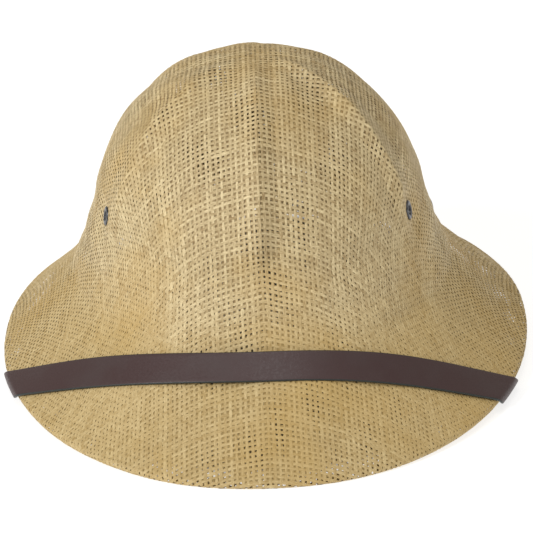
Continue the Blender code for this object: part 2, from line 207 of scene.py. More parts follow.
def make_floor():
    """Wide light table, white and faintly uneven, its glow cut out under the hat as painted
    shadow.
    """
    half = FLOOR_SIZE / 2
    mesh = bpy.data.meshes.new("floor")
    corners = [(-half, -half, 0.0), (half, -half, 0.0), (half, half, 0.0), (-half, half, 0.0)]
    mesh.from_pydata(corners, [], [(0, 1, 2, 3)])
    floor = bpy.data.objects.new("floor", mesh)
    bpy.context.scene.collection.objects.link(floor)
    material, tree, shader = new_finish("floor")
    place = add_node(tree, "ShaderNodeTexCoord").outputs["Object"]
    shade = rescale(tree, noise(tree, place, FLOOR_CLOUDS_A_METRE), NOISE_LOW, NOISE_HIGH)
    join(tree, mix_colors(tree, shade, FLOOR_DARK, FLOOR_PALE), shader, "Base Color")
    # Inside that oval the glow falls to none: a painted shadow that keeps the floor under the hat
    # dark.
    from_middle = math_node(tree, "SUBTRACT", place, PAINTED_SHADOW_MIDDLE, "ShaderNodeVectorMath")
    reach = math_node(tree, "DIVIDE", from_middle, PAINTED_SHADOW_REACH, "ShaderNodeVectorMath")
    distance = add_node(tree, "ShaderNodeVectorMath", operation="LENGTH")
    join(tree, reach, distance, 0)
    glow = rescale(tree, distance.outputs["Value"], 1.0 - PAINTED_SHADOW_EDGE, 1.0, 0.0, TABLE_GLOW)
    join(tree, glow, shader, "Emission Strength")
    shader.inputs["Emission Color"].default_value = WHITE
    shader.inputs["Roughness"].default_value = FLOOR_ROUGHNESS
    shader.inputs["Specular IOR Level"].default_value = FLOOR_GLOSS
    mesh.materials.append(material)


def place_light(data, place, target):
    """Put a light at a place, aimed at a target."""
    light = bpy.data.objects.new(data.name, data)
    light.location = place
    light.rotation_mode = "QUATERNION"
    light.rotation_quaternion = (Vector(target) - Vector(place)).to_track_quat("-Z", "Y")
    bpy.context.scene.collection.objects.link(light)


def make_lights():
    """A soft sun from the upper left, a lamp overhead and an even sky."""
    sun = bpy.data.lights.new("sun", "SUN")
    sun.energy = SUN_STRENGTH
    sun.angle = SUN_SPREAD
    place_light(sun, SUN_FROM, (0.0, 0.0, 0.0))
    lamp = bpy.data.lights.new("overhead", "AREA")
    lamp.size = LAMP_SIZE
    lamp.energy = LAMP_POWER
    place_light(lamp, LAMP_PLACE, CAMERA_TARGET)
    world = bpy.data.worlds.new("sky")
    world.use_nodes = True
    background = world.node_tree.nodes["Background"]
    background.inputs["Color"].default_value = SKY_COLOR
    background.inputs["Strength"].default_value = SKY_STRENGTH
    bpy.context.scene.world = world


bpy.context.scene.view_settings.view_transform = "Standard"
make_floor()
make_lights()
print("light table, metres:", FLOOR_SIZE, "and lights:", len(bpy.data.lights))

# %% [markdown]
# ## The hat's form
#
# The form is the plain solid's: rings that change from the brim's squarish oval to the crown's
# oval, a band, and a dome with raised seams. Only the seams differ. Cloth folds more sharply at
# them than the solid does, and each looks a little different in the photograph, so each has a
# height of its own and a width of its own on either side of its crest. Near the crown's top they
# fade away, so that they meet without a peak. Here each function takes whole arrays of turns at
# once, so that the sheet can be much finer. A turn is an angle round the crown, 0 at the
# wearer's front and growing towards +X.

# %% Sizes of the form
BRIM_HALF_WIDTH = 0.140
BRIM_FRONT_REACH = 0.1730
BRIM_BACK_REACH = 0.1620
BRIM_PLAN_POWER = 2.11
BRIM_SAG = 0.0012
CROWN_AXIS_Y = (BRIM_FRONT_REACH - BRIM_BACK_REACH) / 2
LEFT_SIDE_RAISE = 0.0040
RIGHT_SIDE_RAISE = 0.0069
RESTING_TURN = 12.0
FOOT_HALF_WIDTH = 0.1002
FOOT_FRONT_REACH = 0.1164
FOOT_BACK_REACH = 0.1159
FOOT_HEIGHT = 0.0458
BAND_HALF_WIDTH = 0.0853
BAND_FRONT_REACH = 0.1008
BAND_BACK_REACH = 0.0930
BAND_FRONT_HEIGHT = 0.0818
BAND_SIDE_RISE = 0.0085
BAND_FLARE_POWER = 1.3
HAT_HEIGHT = 0.1580
DOME_REACH_POWER = 1.06
DOME_RISE_POWER = 1.21
CAP_FLATTENING = 0.0020
CAP_SHARE = 0.5
CROWN_LEAN = -0.0012
RIBS = (
    {"turn": 0.0, "height": 0.0034, "low_width": 0.0105, "high_width": 0.0085, "full_at": 0.026},
    {"turn": 58.4, "height": 0.0032, "low_width": 0.0082, "high_width": 0.0140, "full_at": 0.026},
    {"turn": 124.0, "height": 0.0017, "low_width": 0.0085, "high_width": 0.0085, "full_at": 0.080},
    {"turn": 180.0, "height": 0.0017, "low_width": 0.0085, "high_width": 0.0085, "full_at": 0.080},
    {"turn": 236.0, "height": 0.0017, "low_width": 0.0085, "high_width": 0.0085, "full_at": 0.080},
    {"turn": 301.6, "height": 0.0020, "low_width": 0.0140, "high_width": 0.0090, "full_at": 0.040},
)
RIB_POWER = 1.05
RIB_TOP_POWER = 1.5
RIB_FADE_ANGLE = 10.0
GORE_FLATNESS = 0.12
GORE_FADE_ANGLE = 11.0
HEM_RADIUS = 0.0022
HEM_START_ANGLE = 52.0
HEM_FLAT_ANGLE = 65.0
HEM_CENTRE_HEIGHT = HEM_RADIUS * math.sin(math.radians(HEM_FLAT_ANGLE))
STRAW_WALL = 0.0015
PLEAT_SWELL = 0.0006
PLEAT_SHARES = (
    {"share": 0.00, "swell": 0.0},
    {"share": 0.13, "swell": 1.0},
    {"share": 0.33, "swell": -0.5},
    {"share": 0.55, "swell": 1.0},
    {"share": 0.76, "swell": -0.3},
    {"share": 1.00, "swell": 0.0},
)

print("brim's half width here and packed:", BRIM_HALF_WIDTH, round(float(shell_high[0]), 4))


# %% Rings, brim and band
def signed_power(value, power):
    """Raise the size of each value to a power and keep its sign."""
    return np.sign(value) * np.abs(value) ** power


def mix(start, end, share):
    """Value a share of the way from start to end."""
    return start + (end - start) * share


def side_raise(turn):
    """Rise of the brim's edge at a turn; none over the stretches that the hat rests on."""
    sine = np.sin(np.radians(turn))
    tilt = np.degrees(np.arcsin(np.minimum(np.abs(sine), 1.0)))
    share = np.maximum(tilt - RESTING_TURN, 0.0) / (90.0 - RESTING_TURN)
    full = np.where(sine < 0, LEFT_SIDE_RAISE, RIGHT_SIDE_RAISE)
    return full * np.sin(math.pi / 2 * share) ** 2


def ring_point(turn, half_width, front, back, height, power):
    """Points at turns on a ring that is round or squarish in plan."""
    sine = signed_power(np.sin(np.radians(turn)), 2 / power)
    cosine = signed_power(np.cos(np.radians(turn)), 2 / power)
    reach = np.where(cosine > 0, front, back)
    across = half_width * sine + CROWN_LEAN * height / HAT_HEIGHT
    along = CROWN_AXIS_Y - reach * cosine
    return np.stack(np.broadcast_arrays(across, along, height + 0.0 * sine), axis=-1)


def hem_arc(angle, radius):
    """Place on a round of the hem as (inward, height) from the brim's outermost line."""
    inward = HEM_RADIUS - radius * np.cos(np.radians(angle))
    return inward, HEM_CENTRE_HEIGHT + radius * np.sin(np.radians(angle))


def hem_point(turn, inward, height):
    """Points of the hem, measured in from the brim's outermost line and up from its lowest."""
    return ring_point(
        turn,
        BRIM_HALF_WIDTH - inward,
        BRIM_FRONT_REACH - inward,
        BRIM_BACK_REACH - inward,
        height + side_raise(turn),
        BRIM_PLAN_POWER,
    )


def brim_point(turn, share):
    """Points on the brim's upper side, a share of the way from its edge to the crown."""
    edge_in, edge_height = hem_arc(HEM_START_ANGLE, HEM_RADIUS)
    sag = BRIM_SAG * 4 * share * (1 - share)
    return ring_point(
        turn,
        mix(BRIM_HALF_WIDTH - edge_in, FOOT_HALF_WIDTH, share) - sag,
        mix(BRIM_FRONT_REACH - edge_in, FOOT_FRONT_REACH, share) - sag,
        mix(BRIM_BACK_REACH - edge_in, FOOT_BACK_REACH, share) - sag,
        mix(edge_height + side_raise(turn), FOOT_HEIGHT, share) - sag,
        mix(BRIM_PLAN_POWER, 2.0, share),
    )


def band_height(turn):
    """Height of the band's top: lowest at front and back, where it dips between the seams."""
    return BAND_FRONT_HEIGHT + BAND_SIDE_RISE * np.sin(np.radians(turn)) ** 2


def band_point(turn, share):
    """Points on the plain band, a share of the way from the crown's foot to the dome."""
    shares = [row["share"] for row in PLEAT_SHARES]
    swells = [PLEAT_SWELL * row["swell"] for row in PLEAT_SHARES]
    swell = np.interp(share, shares, swells)
    inward = 1 - (1 - share) ** BAND_FLARE_POWER
    return ring_point(
        turn,
        mix(FOOT_HALF_WIDTH, BAND_HALF_WIDTH, inward) + swell,
        mix(FOOT_FRONT_REACH, BAND_FRONT_REACH, inward) + swell,
        mix(FOOT_BACK_REACH, BAND_BACK_REACH, inward) + swell,
        mix(FOOT_HEIGHT, band_height(turn), share),
        2.0,
    )


print("front of the crown's foot:", brim_point(np.array(0.0), 1.0).round(4))

# %% Dome with its seams
TINY = 1e-12


def from_axis(point):
    """Level lines to points from the crown's axis."""
    level = np.array(point)
    level[..., 1] -= CROWN_AXIS_Y
    level[..., 2] = 0.0
    return level


def unit(vectors):
    """Vectors of the same directions, one long; a vector of no length stays as it is."""
    length = np.linalg.norm(vectors, axis=-1, keepdims=True)
    return vectors / np.maximum(length, TINY)


def rib_rise(point, angle):
    """How far the dome's seams lift points, the most on a seam's crest.

    A seam's low width is on the side of lower turns and its high width on the other. It has its
    full height from a level distance full_at from the crown's axis outward.
    """
    level = from_axis(point)
    highest = np.zeros(level.shape[:-1])
    for rib in RIBS:
        crest = unit(from_axis(band_point(np.array(rib["turn"]), 1.0)))
        beside = crest[0] * level[..., 1] - crest[1] * level[..., 0]
        width = np.where(beside > 0, rib["high_width"], rib["low_width"])
        near = np.maximum(1 - np.abs(beside) / width, 0.0) ** RIB_POWER
        from_top = np.clip(level @ crest / rib["full_at"], 0.0, 1.0) ** RIB_TOP_POWER
        highest = np.maximum(highest, rib["height"] * near * from_top)
    return highest * np.minimum(angle / RIB_FADE_ANGLE, 1.0)


def gore_share(turn):
    """Reach of a straight-sided gore at turns, as a share of the round dome's."""
    turns = [rib["turn"] for rib in RIBS]
    shares = np.ones(np.shape(turn))
    for start, end in zip(turns, turns[1:] + [360.0]):
        inside = (turn % 360.0 >= start) & (turn % 360.0 <= end)
        half = math.radians((end - start) / 2)
        from_middle = np.radians(turn % 360.0 - (start + end) / 2)
        share = math.cos(half) / np.cos(np.where(inside, from_middle, 0.0))
        shares = np.where(inside, share, shares)
    return shares


def dome_point(turn, angle, rib_share=1.0):
    """Points on the dome at an angle up its quarter curve, with a share of its seams' height."""
    upward = np.radians(angle) + 0.0 * turn
    reach = np.maximum(np.cos(upward), 0.0) ** DOME_REACH_POWER
    rise = np.sin(upward) ** DOME_RISE_POWER
    flatness = GORE_FLATNESS * np.minimum(angle / GORE_FADE_ANGLE, 1.0)
    width = reach * mix(1.0, gore_share(turn), flatness)
    cap = CAP_FLATTENING * np.maximum(1 - (reach / CAP_SHARE) ** 2, 0.0) ** 2
    point = ring_point(
        turn,
        BAND_HALF_WIDTH * width,
        BAND_FRONT_REACH * width,
        BAND_BACK_REACH * width,
        mix(band_height(turn), HAT_HEIGHT + CAP_FLATTENING, rise) - cap,
        2.0,
    )
    outward = unit(from_axis(point)) * np.cos(upward)[..., None]
    outward[..., 2] += np.sin(upward)
    return point + outward * (rib_share * rib_rise(point, angle))[..., None]


print("top of the dome:", dome_point(np.array(0.0), 90.0).round(4))

# %% [markdown]
# ## A fine sheet
#
# The strands need a smooth surface to lie on. Points are set down each meridian, from the
# crown's top over the brim and round the hem, and then spaced evenly by length. Averaging each
# point with its neighbours rounds the creases as a damp cloth would. The hem keeps its own
# small round.

# %% Meridians of the sheet
MERIDIANS = 720
SHEET_ROWS = 800
DOME_STEPS = 240
BAND_STEPS = 70
BRIM_STEPS = 110
HEM_STEPS = 40
SHEET_TAIL = 0.0120
SHEET_TAIL_STEPS = 8
KEPT_TAIL = 0.0040
HEM_LENGTH = math.pi * HEM_RADIUS
SMOOTHINGS = 40
SMOOTH_FROM_END = 0.026
SMOOTH_FADE = 0.006
UNEVENNESS = 0.00016
UNEVEN_SEED = 7
UNEVEN_WAVES = 9
WAVES_AROUND = (2, 12)
WAVES_DOWN = (30.0, 140.0)
UNEVEN_TOP_FADE = 0.03
UNEVEN_END_FADE = 0.04

sheet_turns = np.arange(MERIDIANS) * 360.0 / MERIDIANS


def raw_meridians(rib_share):
    """Points down every meridian, from the top to well under the brim, row by row."""
    angles = np.linspace(90.0, 0.0, DOME_STEPS)[:-1]
    rows = [dome_point(sheet_turns, angle, rib_share) for angle in angles]
    rows += [band_point(sheet_turns, share) for share in np.linspace(1.0, 0.0, BAND_STEPS)[:-1]]
    rows += [brim_point(sheet_turns, share) for share in np.linspace(1.0, 0.0, BRIM_STEPS)]
    end_angle = HEM_START_ANGLE - 180.0
    for angle in np.linspace(HEM_START_ANGLE, end_angle, HEM_STEPS)[1:]:
        rows.append(hem_point(sheet_turns, *hem_arc(angle, HEM_RADIUS)))
    inward, height = hem_arc(end_angle, HEM_RADIUS)
    along = math.radians(end_angle - 90.0)
    for tail in np.linspace(0.0, SHEET_TAIL, SHEET_TAIL_STEPS)[1:]:
        tail_inward = inward - tail * math.cos(along)
        tail_height = height + tail * math.sin(along)
        rows.append(hem_point(sheet_turns, tail_inward, tail_height))
    return np.array(rows)


def evenly_spaced(rows):
    """The same meridians with evenly spaced rows, and each meridian's length."""
    steps = np.linalg.norm(np.diff(rows, axis=0), axis=-1)
    lengths = np.concatenate((np.zeros((1, MERIDIANS)), np.cumsum(steps, axis=0)))
    even = np.empty((SHEET_ROWS, MERIDIANS, 3))
    for column in range(MERIDIANS):
        places = np.linspace(0.0, lengths[-1, column], SHEET_ROWS)
        for axis in range(3):
            even[:, column, axis] = np.interp(places, lengths[:, column], rows[:, column, axis])
    return even, lengths[-1]


def smoothed(sheet, lengths):
    """Round the sheet's creases, all but the hem's."""
    from_end = np.linspace(1.0, 0.0, SHEET_ROWS)[:, None] * lengths[None, :]
    weight = np.clip((from_end - SMOOTH_FROM_END) / SMOOTH_FADE, 0.0, 1.0)[1:-1, :, None]
    for _ in range(SMOOTHINGS):
        soft = sheet[1:-1] / 2 + (sheet[:-2] + sheet[2:]) / 4
        sheet[1:-1] += (soft - sheet[1:-1]) * weight
    return sheet


def sheet_normals(sheet):
    """Directions straight out of the sheet."""
    down = np.gradient(sheet, axis=0)
    around = np.roll(sheet, -1, axis=1) - np.roll(sheet, 1, axis=1)
    normals = unit(np.cross(down, around))
    normals[0] = (0.0, 0.0, 1.0)
    return normals


def uneven(sheet, normals, lengths):
    """Add the slight waviness of a hand-pressed sheet."""
    chance = np.random.default_rng(UNEVEN_SEED)
    place = np.linspace(0.0, 1.0, SHEET_ROWS)[:, None] * lengths[None, :]
    turn = np.radians(sheet_turns)[None, :]
    wave = np.zeros(place.shape)
    for _ in range(UNEVEN_WAVES):
        around = chance.integers(*WAVES_AROUND)
        down = chance.uniform(*WAVES_DOWN)
        wave += np.sin(around * turn + down * place + chance.uniform(0.0, 2 * math.pi))
    top_fade = np.clip(place / UNEVEN_TOP_FADE, 0.0, 1.0)
    end_fade = np.clip((lengths[None, :] - place) / UNEVEN_END_FADE, 0.0, 1.0)
    return sheet + normals * (UNEVENNESS * wave * (top_fade * end_fade))[..., None]


plain_sheet, plain_lengths = evenly_spaced(raw_meridians(0.0))
plain_sheet = smoothed(plain_sheet, plain_lengths)
even_sheet, meridian_lengths = evenly_spaced(raw_meridians(1.0))
even_sheet = smoothed(even_sheet, meridian_lengths)
even_sheet = uneven(even_sheet, sheet_normals(even_sheet), meridian_lengths)
even_normals = sheet_normals(even_sheet)
shortest, longest = round(meridian_lengths.min(), 4), round(meridian_lengths.max(), 4)
print("meridians, metres:", shortest, "to", longest)


# %% [markdown]
# The strands' crossings fall between the sheet's points, so the sheet is read by blending the
# four points round a place. A place is kept as a flat chart of the hat seen from above: that has
# no seam where the turns go from 360 back to 0.

# %% Read the sheet anywhere
def read_sheet(grid, chart):
    """Values of a grid of rows and meridians at chart places.

    A chart place is a flat (x, y): its length is the share of the way down a meridian, and
    its direction is the turn.
    """
    share = np.clip(np.hypot(chart[..., 0], chart[..., 1]), 0.0, 1.0)
    turn = np.degrees(np.arctan2(chart[..., 0], chart[..., 1])) % 360.0
    row = share * (SHEET_ROWS - 1)
    low = np.minimum(row.astype(int), SHEET_ROWS - 2)
    down = (row - low)[..., None]
    column = turn * MERIDIANS / 360.0
    left = column.astype(int) % MERIDIANS
    right = (left + 1) % MERIDIANS
    side = (column - np.floor(column))[..., None]
    upper = mix(grid[low, left], grid[low, right], side)
    lower = mix(grid[low + 1, left], grid[low + 1, right], side)
    return mix(upper, lower, down)


def chart_place(share, turn):
    """Chart place of a share of the way down and a turn."""
    return np.stack((share * np.sin(np.radians(turn)), share * np.cos(np.radians(turn))), axis=-1)


def meridian_length(lengths, turn):
    """Length of a sheet's meridians at turns, from the top to the end under the brim."""
    column = (turn % 360.0) * MERIDIANS / 360.0
    left = np.floor(column).astype(int) % MERIDIANS
    right = (left + 1) % MERIDIANS
    return mix(lengths[left], lengths[right], column - np.floor(column))


print("halfway down the front:", read_sheet(even_sheet, chart_place(0.5, 0.0)).round(4))

# %% [markdown]
# ## How cloth lies on a dome
#
# Straw strands bend but don't stretch, so a woven sheet follows a dome by shearing: its square
# holes turn into diamonds between the front and the sides. To get that, the crossings are laid
# one after another as a fishing net. Each new crossing is the one place on the sheet that lies a
# strand's spacing from both of its neighbours. The net starts from two lines over the crown's
# top, and four quarters grow from them at once.

# %% Lay a net of crossings
STRAND_SPACING = 0.00262
SPARE_CROSSINGS = 3
NET_TRIES = 7
CHART_STEP = 1e-4
LONGEST_MOVE = 0.03


def quarter_spines(spacing, twist):
    """Chart places of the crossings along the net's two starting lines, for four quarters."""
    count = int(plain_lengths.max() / spacing) + SPARE_CROSSINGS
    quarters = []
    for across, along in ((1, 1), (-1, 1), (1, -1), (-1, -1)):
        side_turn = (90.0 * across + twist) % 360.0
        front_turn = ((0.0 if along > 0 else 180.0) + twist) % 360.0
        chart = np.full((count, count, 2), np.nan)
        for spine, turn in ((chart[:, 0], side_turn), (chart[0, :], front_turn)):
            share = np.arange(count) * spacing / meridian_length(plain_lengths, np.array(turn))
            spine[:] = np.where(share[:, None] < 1, chart_place(share, turn), np.nan)
        quarters.append({"across": across, "along": along, "chart": chart})
    return quarters


def settle(guess, first, second, sheet, spacing):
    """Move guessed places until they lie a spacing from two others, by Newton's method."""
    chart = guess.copy()
    for _ in range(NET_TRIES):
        here = read_sheet(sheet, chart)
        misses = []
        slopes = []
        for other in (first, second):
            gap = here - other
            misses.append((gap * gap).sum(-1) - spacing * spacing)
        for axis in range(2):
            moved = chart.copy()
            moved[..., axis] += CHART_STEP
            there = (read_sheet(sheet, moved) - here) / CHART_STEP
            slopes.append([2 * ((here - other) * there).sum(-1) for other in (first, second)])
        (a, c), (b, d) = slopes
        scale = a * d - b * c
        scale = np.where(np.abs(scale) < TINY, TINY, scale)
        move = np.stack((d * misses[0] - b * misses[1], a * misses[1] - c * misses[0]), -1)
        move = move / scale[..., None]
        length = np.linalg.norm(move, axis=-1, keepdims=True)
        chart = chart - move * np.minimum(1.0, LONGEST_MOVE / np.maximum(length, TINY))
    return chart


def lay_net(sheet, spacing, twist):
    """Chart places of a whole net of crossings, as a square grid with its middle at the top."""
    quarters = quarter_spines(spacing, twist)
    count = quarters[0]["chart"].shape[0]
    stack = np.stack([quarter["chart"] for quarter in quarters])
    for diagonal in range(2, 2 * count - 1):
        column = np.arange(max(1, diagonal - count + 1), min(diagonal, count))
        row = diagonal - column
        first = stack[:, column - 1, row]
        second = stack[:, column, row - 1]
        guess = first + second - stack[:, column - 1, row - 1]
        known = np.isfinite(guess).all(-1) & (np.linalg.norm(guess, axis=-1) < 1.0)
        if not known.any():
            continue
        places = settle(
            guess[known],
            read_sheet(sheet, first[known]),
            read_sheet(sheet, second[known]),
            sheet,
            spacing,
        )
        fresh = np.full(guess.shape, np.nan)
        on_sheet = np.linalg.norm(places, axis=-1, keepdims=True) < 1.0
        fresh[known] = np.where(on_sheet, places, np.nan)
        stack[:, column, row] = fresh
    net = np.full((2 * count - 1, 2 * count - 1, 2), np.nan)
    for quarter, chart in zip(quarters, stack):
        columns = count - 1 + quarter["across"] * np.arange(count)
        rows = count - 1 + quarter["along"] * np.arange(count)
        net[np.ix_(columns, rows)] = chart
    return net


outer_net = lay_net(plain_sheet, STRAND_SPACING, 0.0)
print("crossings in the outer net:", int(np.isfinite(outer_net[..., 0]).sum()))

# %% [markdown]
# The hat has a second layer inside the first. Its net has a slightly wider spacing and lies a
# few degrees askew, so that its holes line up with the outer ones only here and there. Those
# places show as the clusters of dark holes that drift over the hat.

# %% Lay the inner net
INNER_DEPTH = 0.00058
INNER_SPACING = 0.00272
INNER_TWIST = 3.4

inner_net = lay_net(plain_sheet, INNER_SPACING, INNER_TWIST)
print("crossings in the inner net:", int(np.isfinite(inner_net[..., 0]).sum()))

# %% [markdown]
# ## Strands
#
# A strand is a flat strip with a slightly raised crest and crisp edges. It rises over one
# crossing strand and dips under the next. Where the net is sheared the strands lie closer, so
# they are pressed narrower there. Over the brim they are a little wider, and everywhere their
# width and place vary by chance. Each strand is a closed strip with its ends capped. It leaves
# out the holes that the eyelets and rivets go through, and round the hem it stays just above
# the table.

# %% Sizes of the strands
STRAND_HALF_WIDTH = 0.00075
STRAND_CREST = 0.00009
STRAND_BELLY = 0.00005
STRAND_WAVE = 0.00007
OUTER_DEPTH = 0.00020
NARROWEST_SHARE = 0.42
SHEAR_ROOM = 1.25
STRAND_WIDTH_CHANGE = 0.18
PLACE_WIDTH_CHANGE = 0.16
STRAND_DRIFT = 0.00018
PLACE_DRIFT_SHARE = 0.6
SHORTEST_RUN = 3
RESTING_HEIGHT = 0.00003
BRIM_WIDTH_GAIN = 0.07
BRIM_GAIN_TOP = 0.075
BRIM_GAIN_FULL = 0.045

open_width = STRAND_SPACING - 2 * STRAND_HALF_WIDTH
print("holes between the strands of one layer, metres:", round(open_width, 5))

# %% [markdown]
# The eyelets and the rivets go through the straw, so their places are needed before any strand
# is made. The straw is also pressed flat round each eyelet.

# %% Find where the eyelets and rivets sit
EYELET_LEFT_TURN = 66.6
EYELET_RIGHT_TURN = 62.4
EYELET_HEIGHT = 0.0876
EYELET_BARREL_RADIUS = 0.0034
EYELET_TURN_OUT = 10.0
EYELET_TURN_UP = 6.0
PRESSED_RADIUS = 0.0065
PRESSED_FADE = 0.0105
RIVET_SHANK_RADIUS = 0.0015
HOLE_ROOM = 0.0004
HOLE_DEPTH = 4 * STRAW_WALL
TURN_STEP = 0.5
LEVEL_STEP = 0.01


def straw_point(turn, level):
    """Points on the plain solid's outer side. Level 0 is the edge, 1 the foot, 2 the dome."""
    brim = brim_point(turn, np.clip(level, 0.0, 1.0))
    band = band_point(turn, np.clip(level - 1.0, 0.0, 1.0))
    dome = dome_point(turn, 90.0 * np.clip(level - 2.0, 0.0, 1.0))
    upper = np.where((np.asarray(level) <= 2.0)[..., None], band, dome)
    return np.where((np.asarray(level) <= 1.0)[..., None], brim, upper)


def straw_normal(turn, level):
    """Directions straight out of the plain solid's outer side."""
    around = straw_point(turn + TURN_STEP, level) - straw_point(turn - TURN_STEP, level)
    low = np.maximum(level - LEVEL_STEP, 0.0)
    up = straw_point(turn, low + 2 * LEVEL_STEP) - straw_point(turn, low)
    return unit(np.cross(around, up))


def eyelet_place(side):
    """Middle of an eyelet on the straw's outer side, and the direction out of it.

    Setting an eyelet presses the straw flat against the die, here a little outward and up.
    """
    turn = np.array(-EYELET_LEFT_TURN if side < 0 else EYELET_RIGHT_TURN)
    level = 1.0 + (EYELET_HEIGHT - FOOT_HEIGHT) / (band_height(turn) - FOOT_HEIGHT)
    normal = straw_normal(turn, level)
    out = np.array((side, 0.0, 0.0))
    up = np.array((0.0, 0.0, 1.0))
    lean = math.tan(math.radians(EYELET_TURN_OUT)) * unit(out - normal * (out @ normal))
    lean = lean + math.tan(math.radians(EYELET_TURN_UP)) * unit(up - normal * (up @ normal))
    return straw_point(turn, level), unit(normal + lean)


def press_flat(sheet, middle, outward):
    """Press a sheet flat round an eyelet's middle, and let it curve away further out."""
    away = sheet - middle
    height = away @ outward
    beside = np.linalg.norm(away - height[..., None] * outward, axis=-1)
    share = np.clip((beside - PRESSED_RADIUS) / PRESSED_FADE, 0.0, 1.0)
    weight = (1.0 - share * share * (3.0 - 2.0 * share)) * (np.abs(height) < PRESSED_FADE)
    return sheet - (height * weight)[..., None] * outward


print("left eyelet's middle:", eyelet_place(-1.0)[0].round(4))

# %% [markdown]
# The strap's route is settled here, because the rivets sit at its ends. Over the brim it bends
# as a wide arc, and from the brim's edge it goes on round the hem, under the brim and up the
# inside of the crown.

# %% Route of the strap
STRAP_WIDTH = 0.0160
STRAP_THICKNESS = 0.0015
STRAP_GAP = 0.0005
STRAP_FRONT_UP = 0.0608
STRAP_BEND_POWER = 2.33
STRAP_LEFT_CROSSING = 68.0
STRAP_RIGHT_CROSSING = 57.6
STRAP_SKEW_START = 0.4
STRAP_SKEW_END = 0.9
STRAP_END_TURN = 106.0
STRAP_UNDER_LENGTH = 0.0570
STRAP_END_LENGTH = 0.0260
STRAP_ROW_LENGTH = 0.0025
STRAP_HEM_STEPS = 26
STRAP_UNDER_STEPS = 22
STRAP_INSIDE_STEPS = 12
RIVET_FROM_END = 0.0080
STRAP_LIFT = STRAP_GAP + STRAP_THICKNESS / 2
HEM_WRAP = math.pi * (HEM_RADIUS + STRAP_LIFT)


def brim_length(turn):
    """Length up the brim at turns, from its edge to the foot of the crown."""
    return np.linalg.norm(brim_point(turn, 1.0) - brim_point(turn, 0.0), axis=-1)


def band_length(turn):
    """Length up the band at turns, from the foot of the crown to the dome."""
    return np.linalg.norm(band_point(turn, 1.0) - band_point(turn, 0.0), axis=-1)


def strap_drops():
    """Lengths from the brim's edge, round the hem and inward, where the strap has rows."""
    foot = HEM_WRAP + STRAP_UNDER_LENGTH
    hem = np.linspace(0.0, HEM_WRAP, STRAP_HEM_STEPS, endpoint=False)
    under = np.linspace(HEM_WRAP, foot, STRAP_UNDER_STEPS, endpoint=False)
    inside = np.linspace(foot, foot + STRAP_END_LENGTH, STRAP_INSIDE_STEPS)
    return np.concatenate((hem, under, inside))


def strap_route(side, crossing):
    """Middle line of half the strap as (turn, up, skew), from the front to the strap's end."""
    route = []
    steps = round(math.radians(crossing) * BRIM_FRONT_REACH / STRAP_ROW_LENGTH)
    for step in range(steps):
        share = step / steps
        up = STRAP_FRONT_UP * (1 - share ** STRAP_BEND_POWER)
        skew = (share - STRAP_SKEW_START) / (STRAP_SKEW_END - STRAP_SKEW_START)
        route.append((side * crossing * share, up, min(max(skew, 0.0), 1.0)))
    slope = crossing / (STRAP_BEND_POWER * STRAP_FRONT_UP)
    drops = strap_drops()
    bend = (STRAP_END_TURN - crossing - slope * drops[-1]) / drops[-1] ** 2
    for drop in drops:
        route.append((side * (crossing + slope * drop + bend * drop ** 2), -drop, 1.0))
    return route


def rivet_place(side, crossing):
    """Middle of a rivet on the crown's outer side, and the direction out of it."""
    route = strap_route(side, crossing)
    turns = [place[0] for place in route]
    drops = [-place[1] for place in route]
    drop = drops[-1] - RIVET_FROM_END
    turn = np.array(np.interp(drop, drops[-STRAP_INSIDE_STEPS:], turns[-STRAP_INSIDE_STEPS:]))
    level = 1.0 + (drop - HEM_WRAP - STRAP_UNDER_LENGTH) / band_length(turn)
    return straw_point(turn, level), straw_normal(turn, level)


SIDES = (
    {"word": "left", "sign": -1.0, "crossing": STRAP_LEFT_CROSSING},
    {"word": "right", "sign": 1.0, "crossing": STRAP_RIGHT_CROSSING},
)
holes = []
for side in SIDES:
    even_sheet = press_flat(even_sheet, *eyelet_place(side["sign"]))
    holes.append((*eyelet_place(side["sign"]), EYELET_BARREL_RADIUS + HOLE_ROOM))
    holes.append((*rivet_place(side["sign"], side["crossing"]), RIVET_SHANK_RADIUS + HOLE_ROOM))
even_normals = sheet_normals(even_sheet)
print("holes in the straw:", len(holes))


# %% Turn a row of crossings into a strand
def crossing_room(net, sheet):
    """How much of its full width a strand has at each crossing of a net."""
    places = read_sheet(sheet, np.nan_to_num(net))
    places[~np.isfinite(net[..., 0])] = np.nan
    across = np.full(places.shape, np.nan)
    along = np.full(places.shape, np.nan)
    across[1:-1] = places[2:] - places[:-2]
    along[:, 1:-1] = places[:, 2:] - places[:, :-2]
    sine = np.linalg.norm(np.cross(unit(across), unit(along)), axis=-1)
    sine = np.where(np.isfinite(sine), sine, 1.0)
    return np.clip(sine * SHEAR_ROOM, NARROWEST_SHARE, 1.0)


def kept_share(chart, tail):
    """Whether chart places are within the sheet's kept length."""
    share = np.linalg.norm(chart, axis=-1)
    turn = np.degrees(np.arctan2(chart[..., 0], chart[..., 1]))
    length = meridian_length(meridian_lengths, turn)
    return share * length < length - SHEET_TAIL + tail


def clear_of_holes(points):
    """Whether points lie outside every eyelet's and rivet's hole."""
    clear = np.ones(len(points), bool)
    for middle, outward, radius in holes:
        away = points - middle
        depth = away @ outward
        beside = np.linalg.norm(away - depth[:, None] * outward, axis=-1)
        clear &= (beside > radius) | (np.abs(depth) > HOLE_DEPTH)
    return clear


def runs_of(flags):
    """Start and end of each unbroken run of true flags."""
    edges = np.flatnonzero(np.diff(np.concatenate(([0], flags.astype(int), [0]))))
    return zip(edges[::2], edges[1::2])


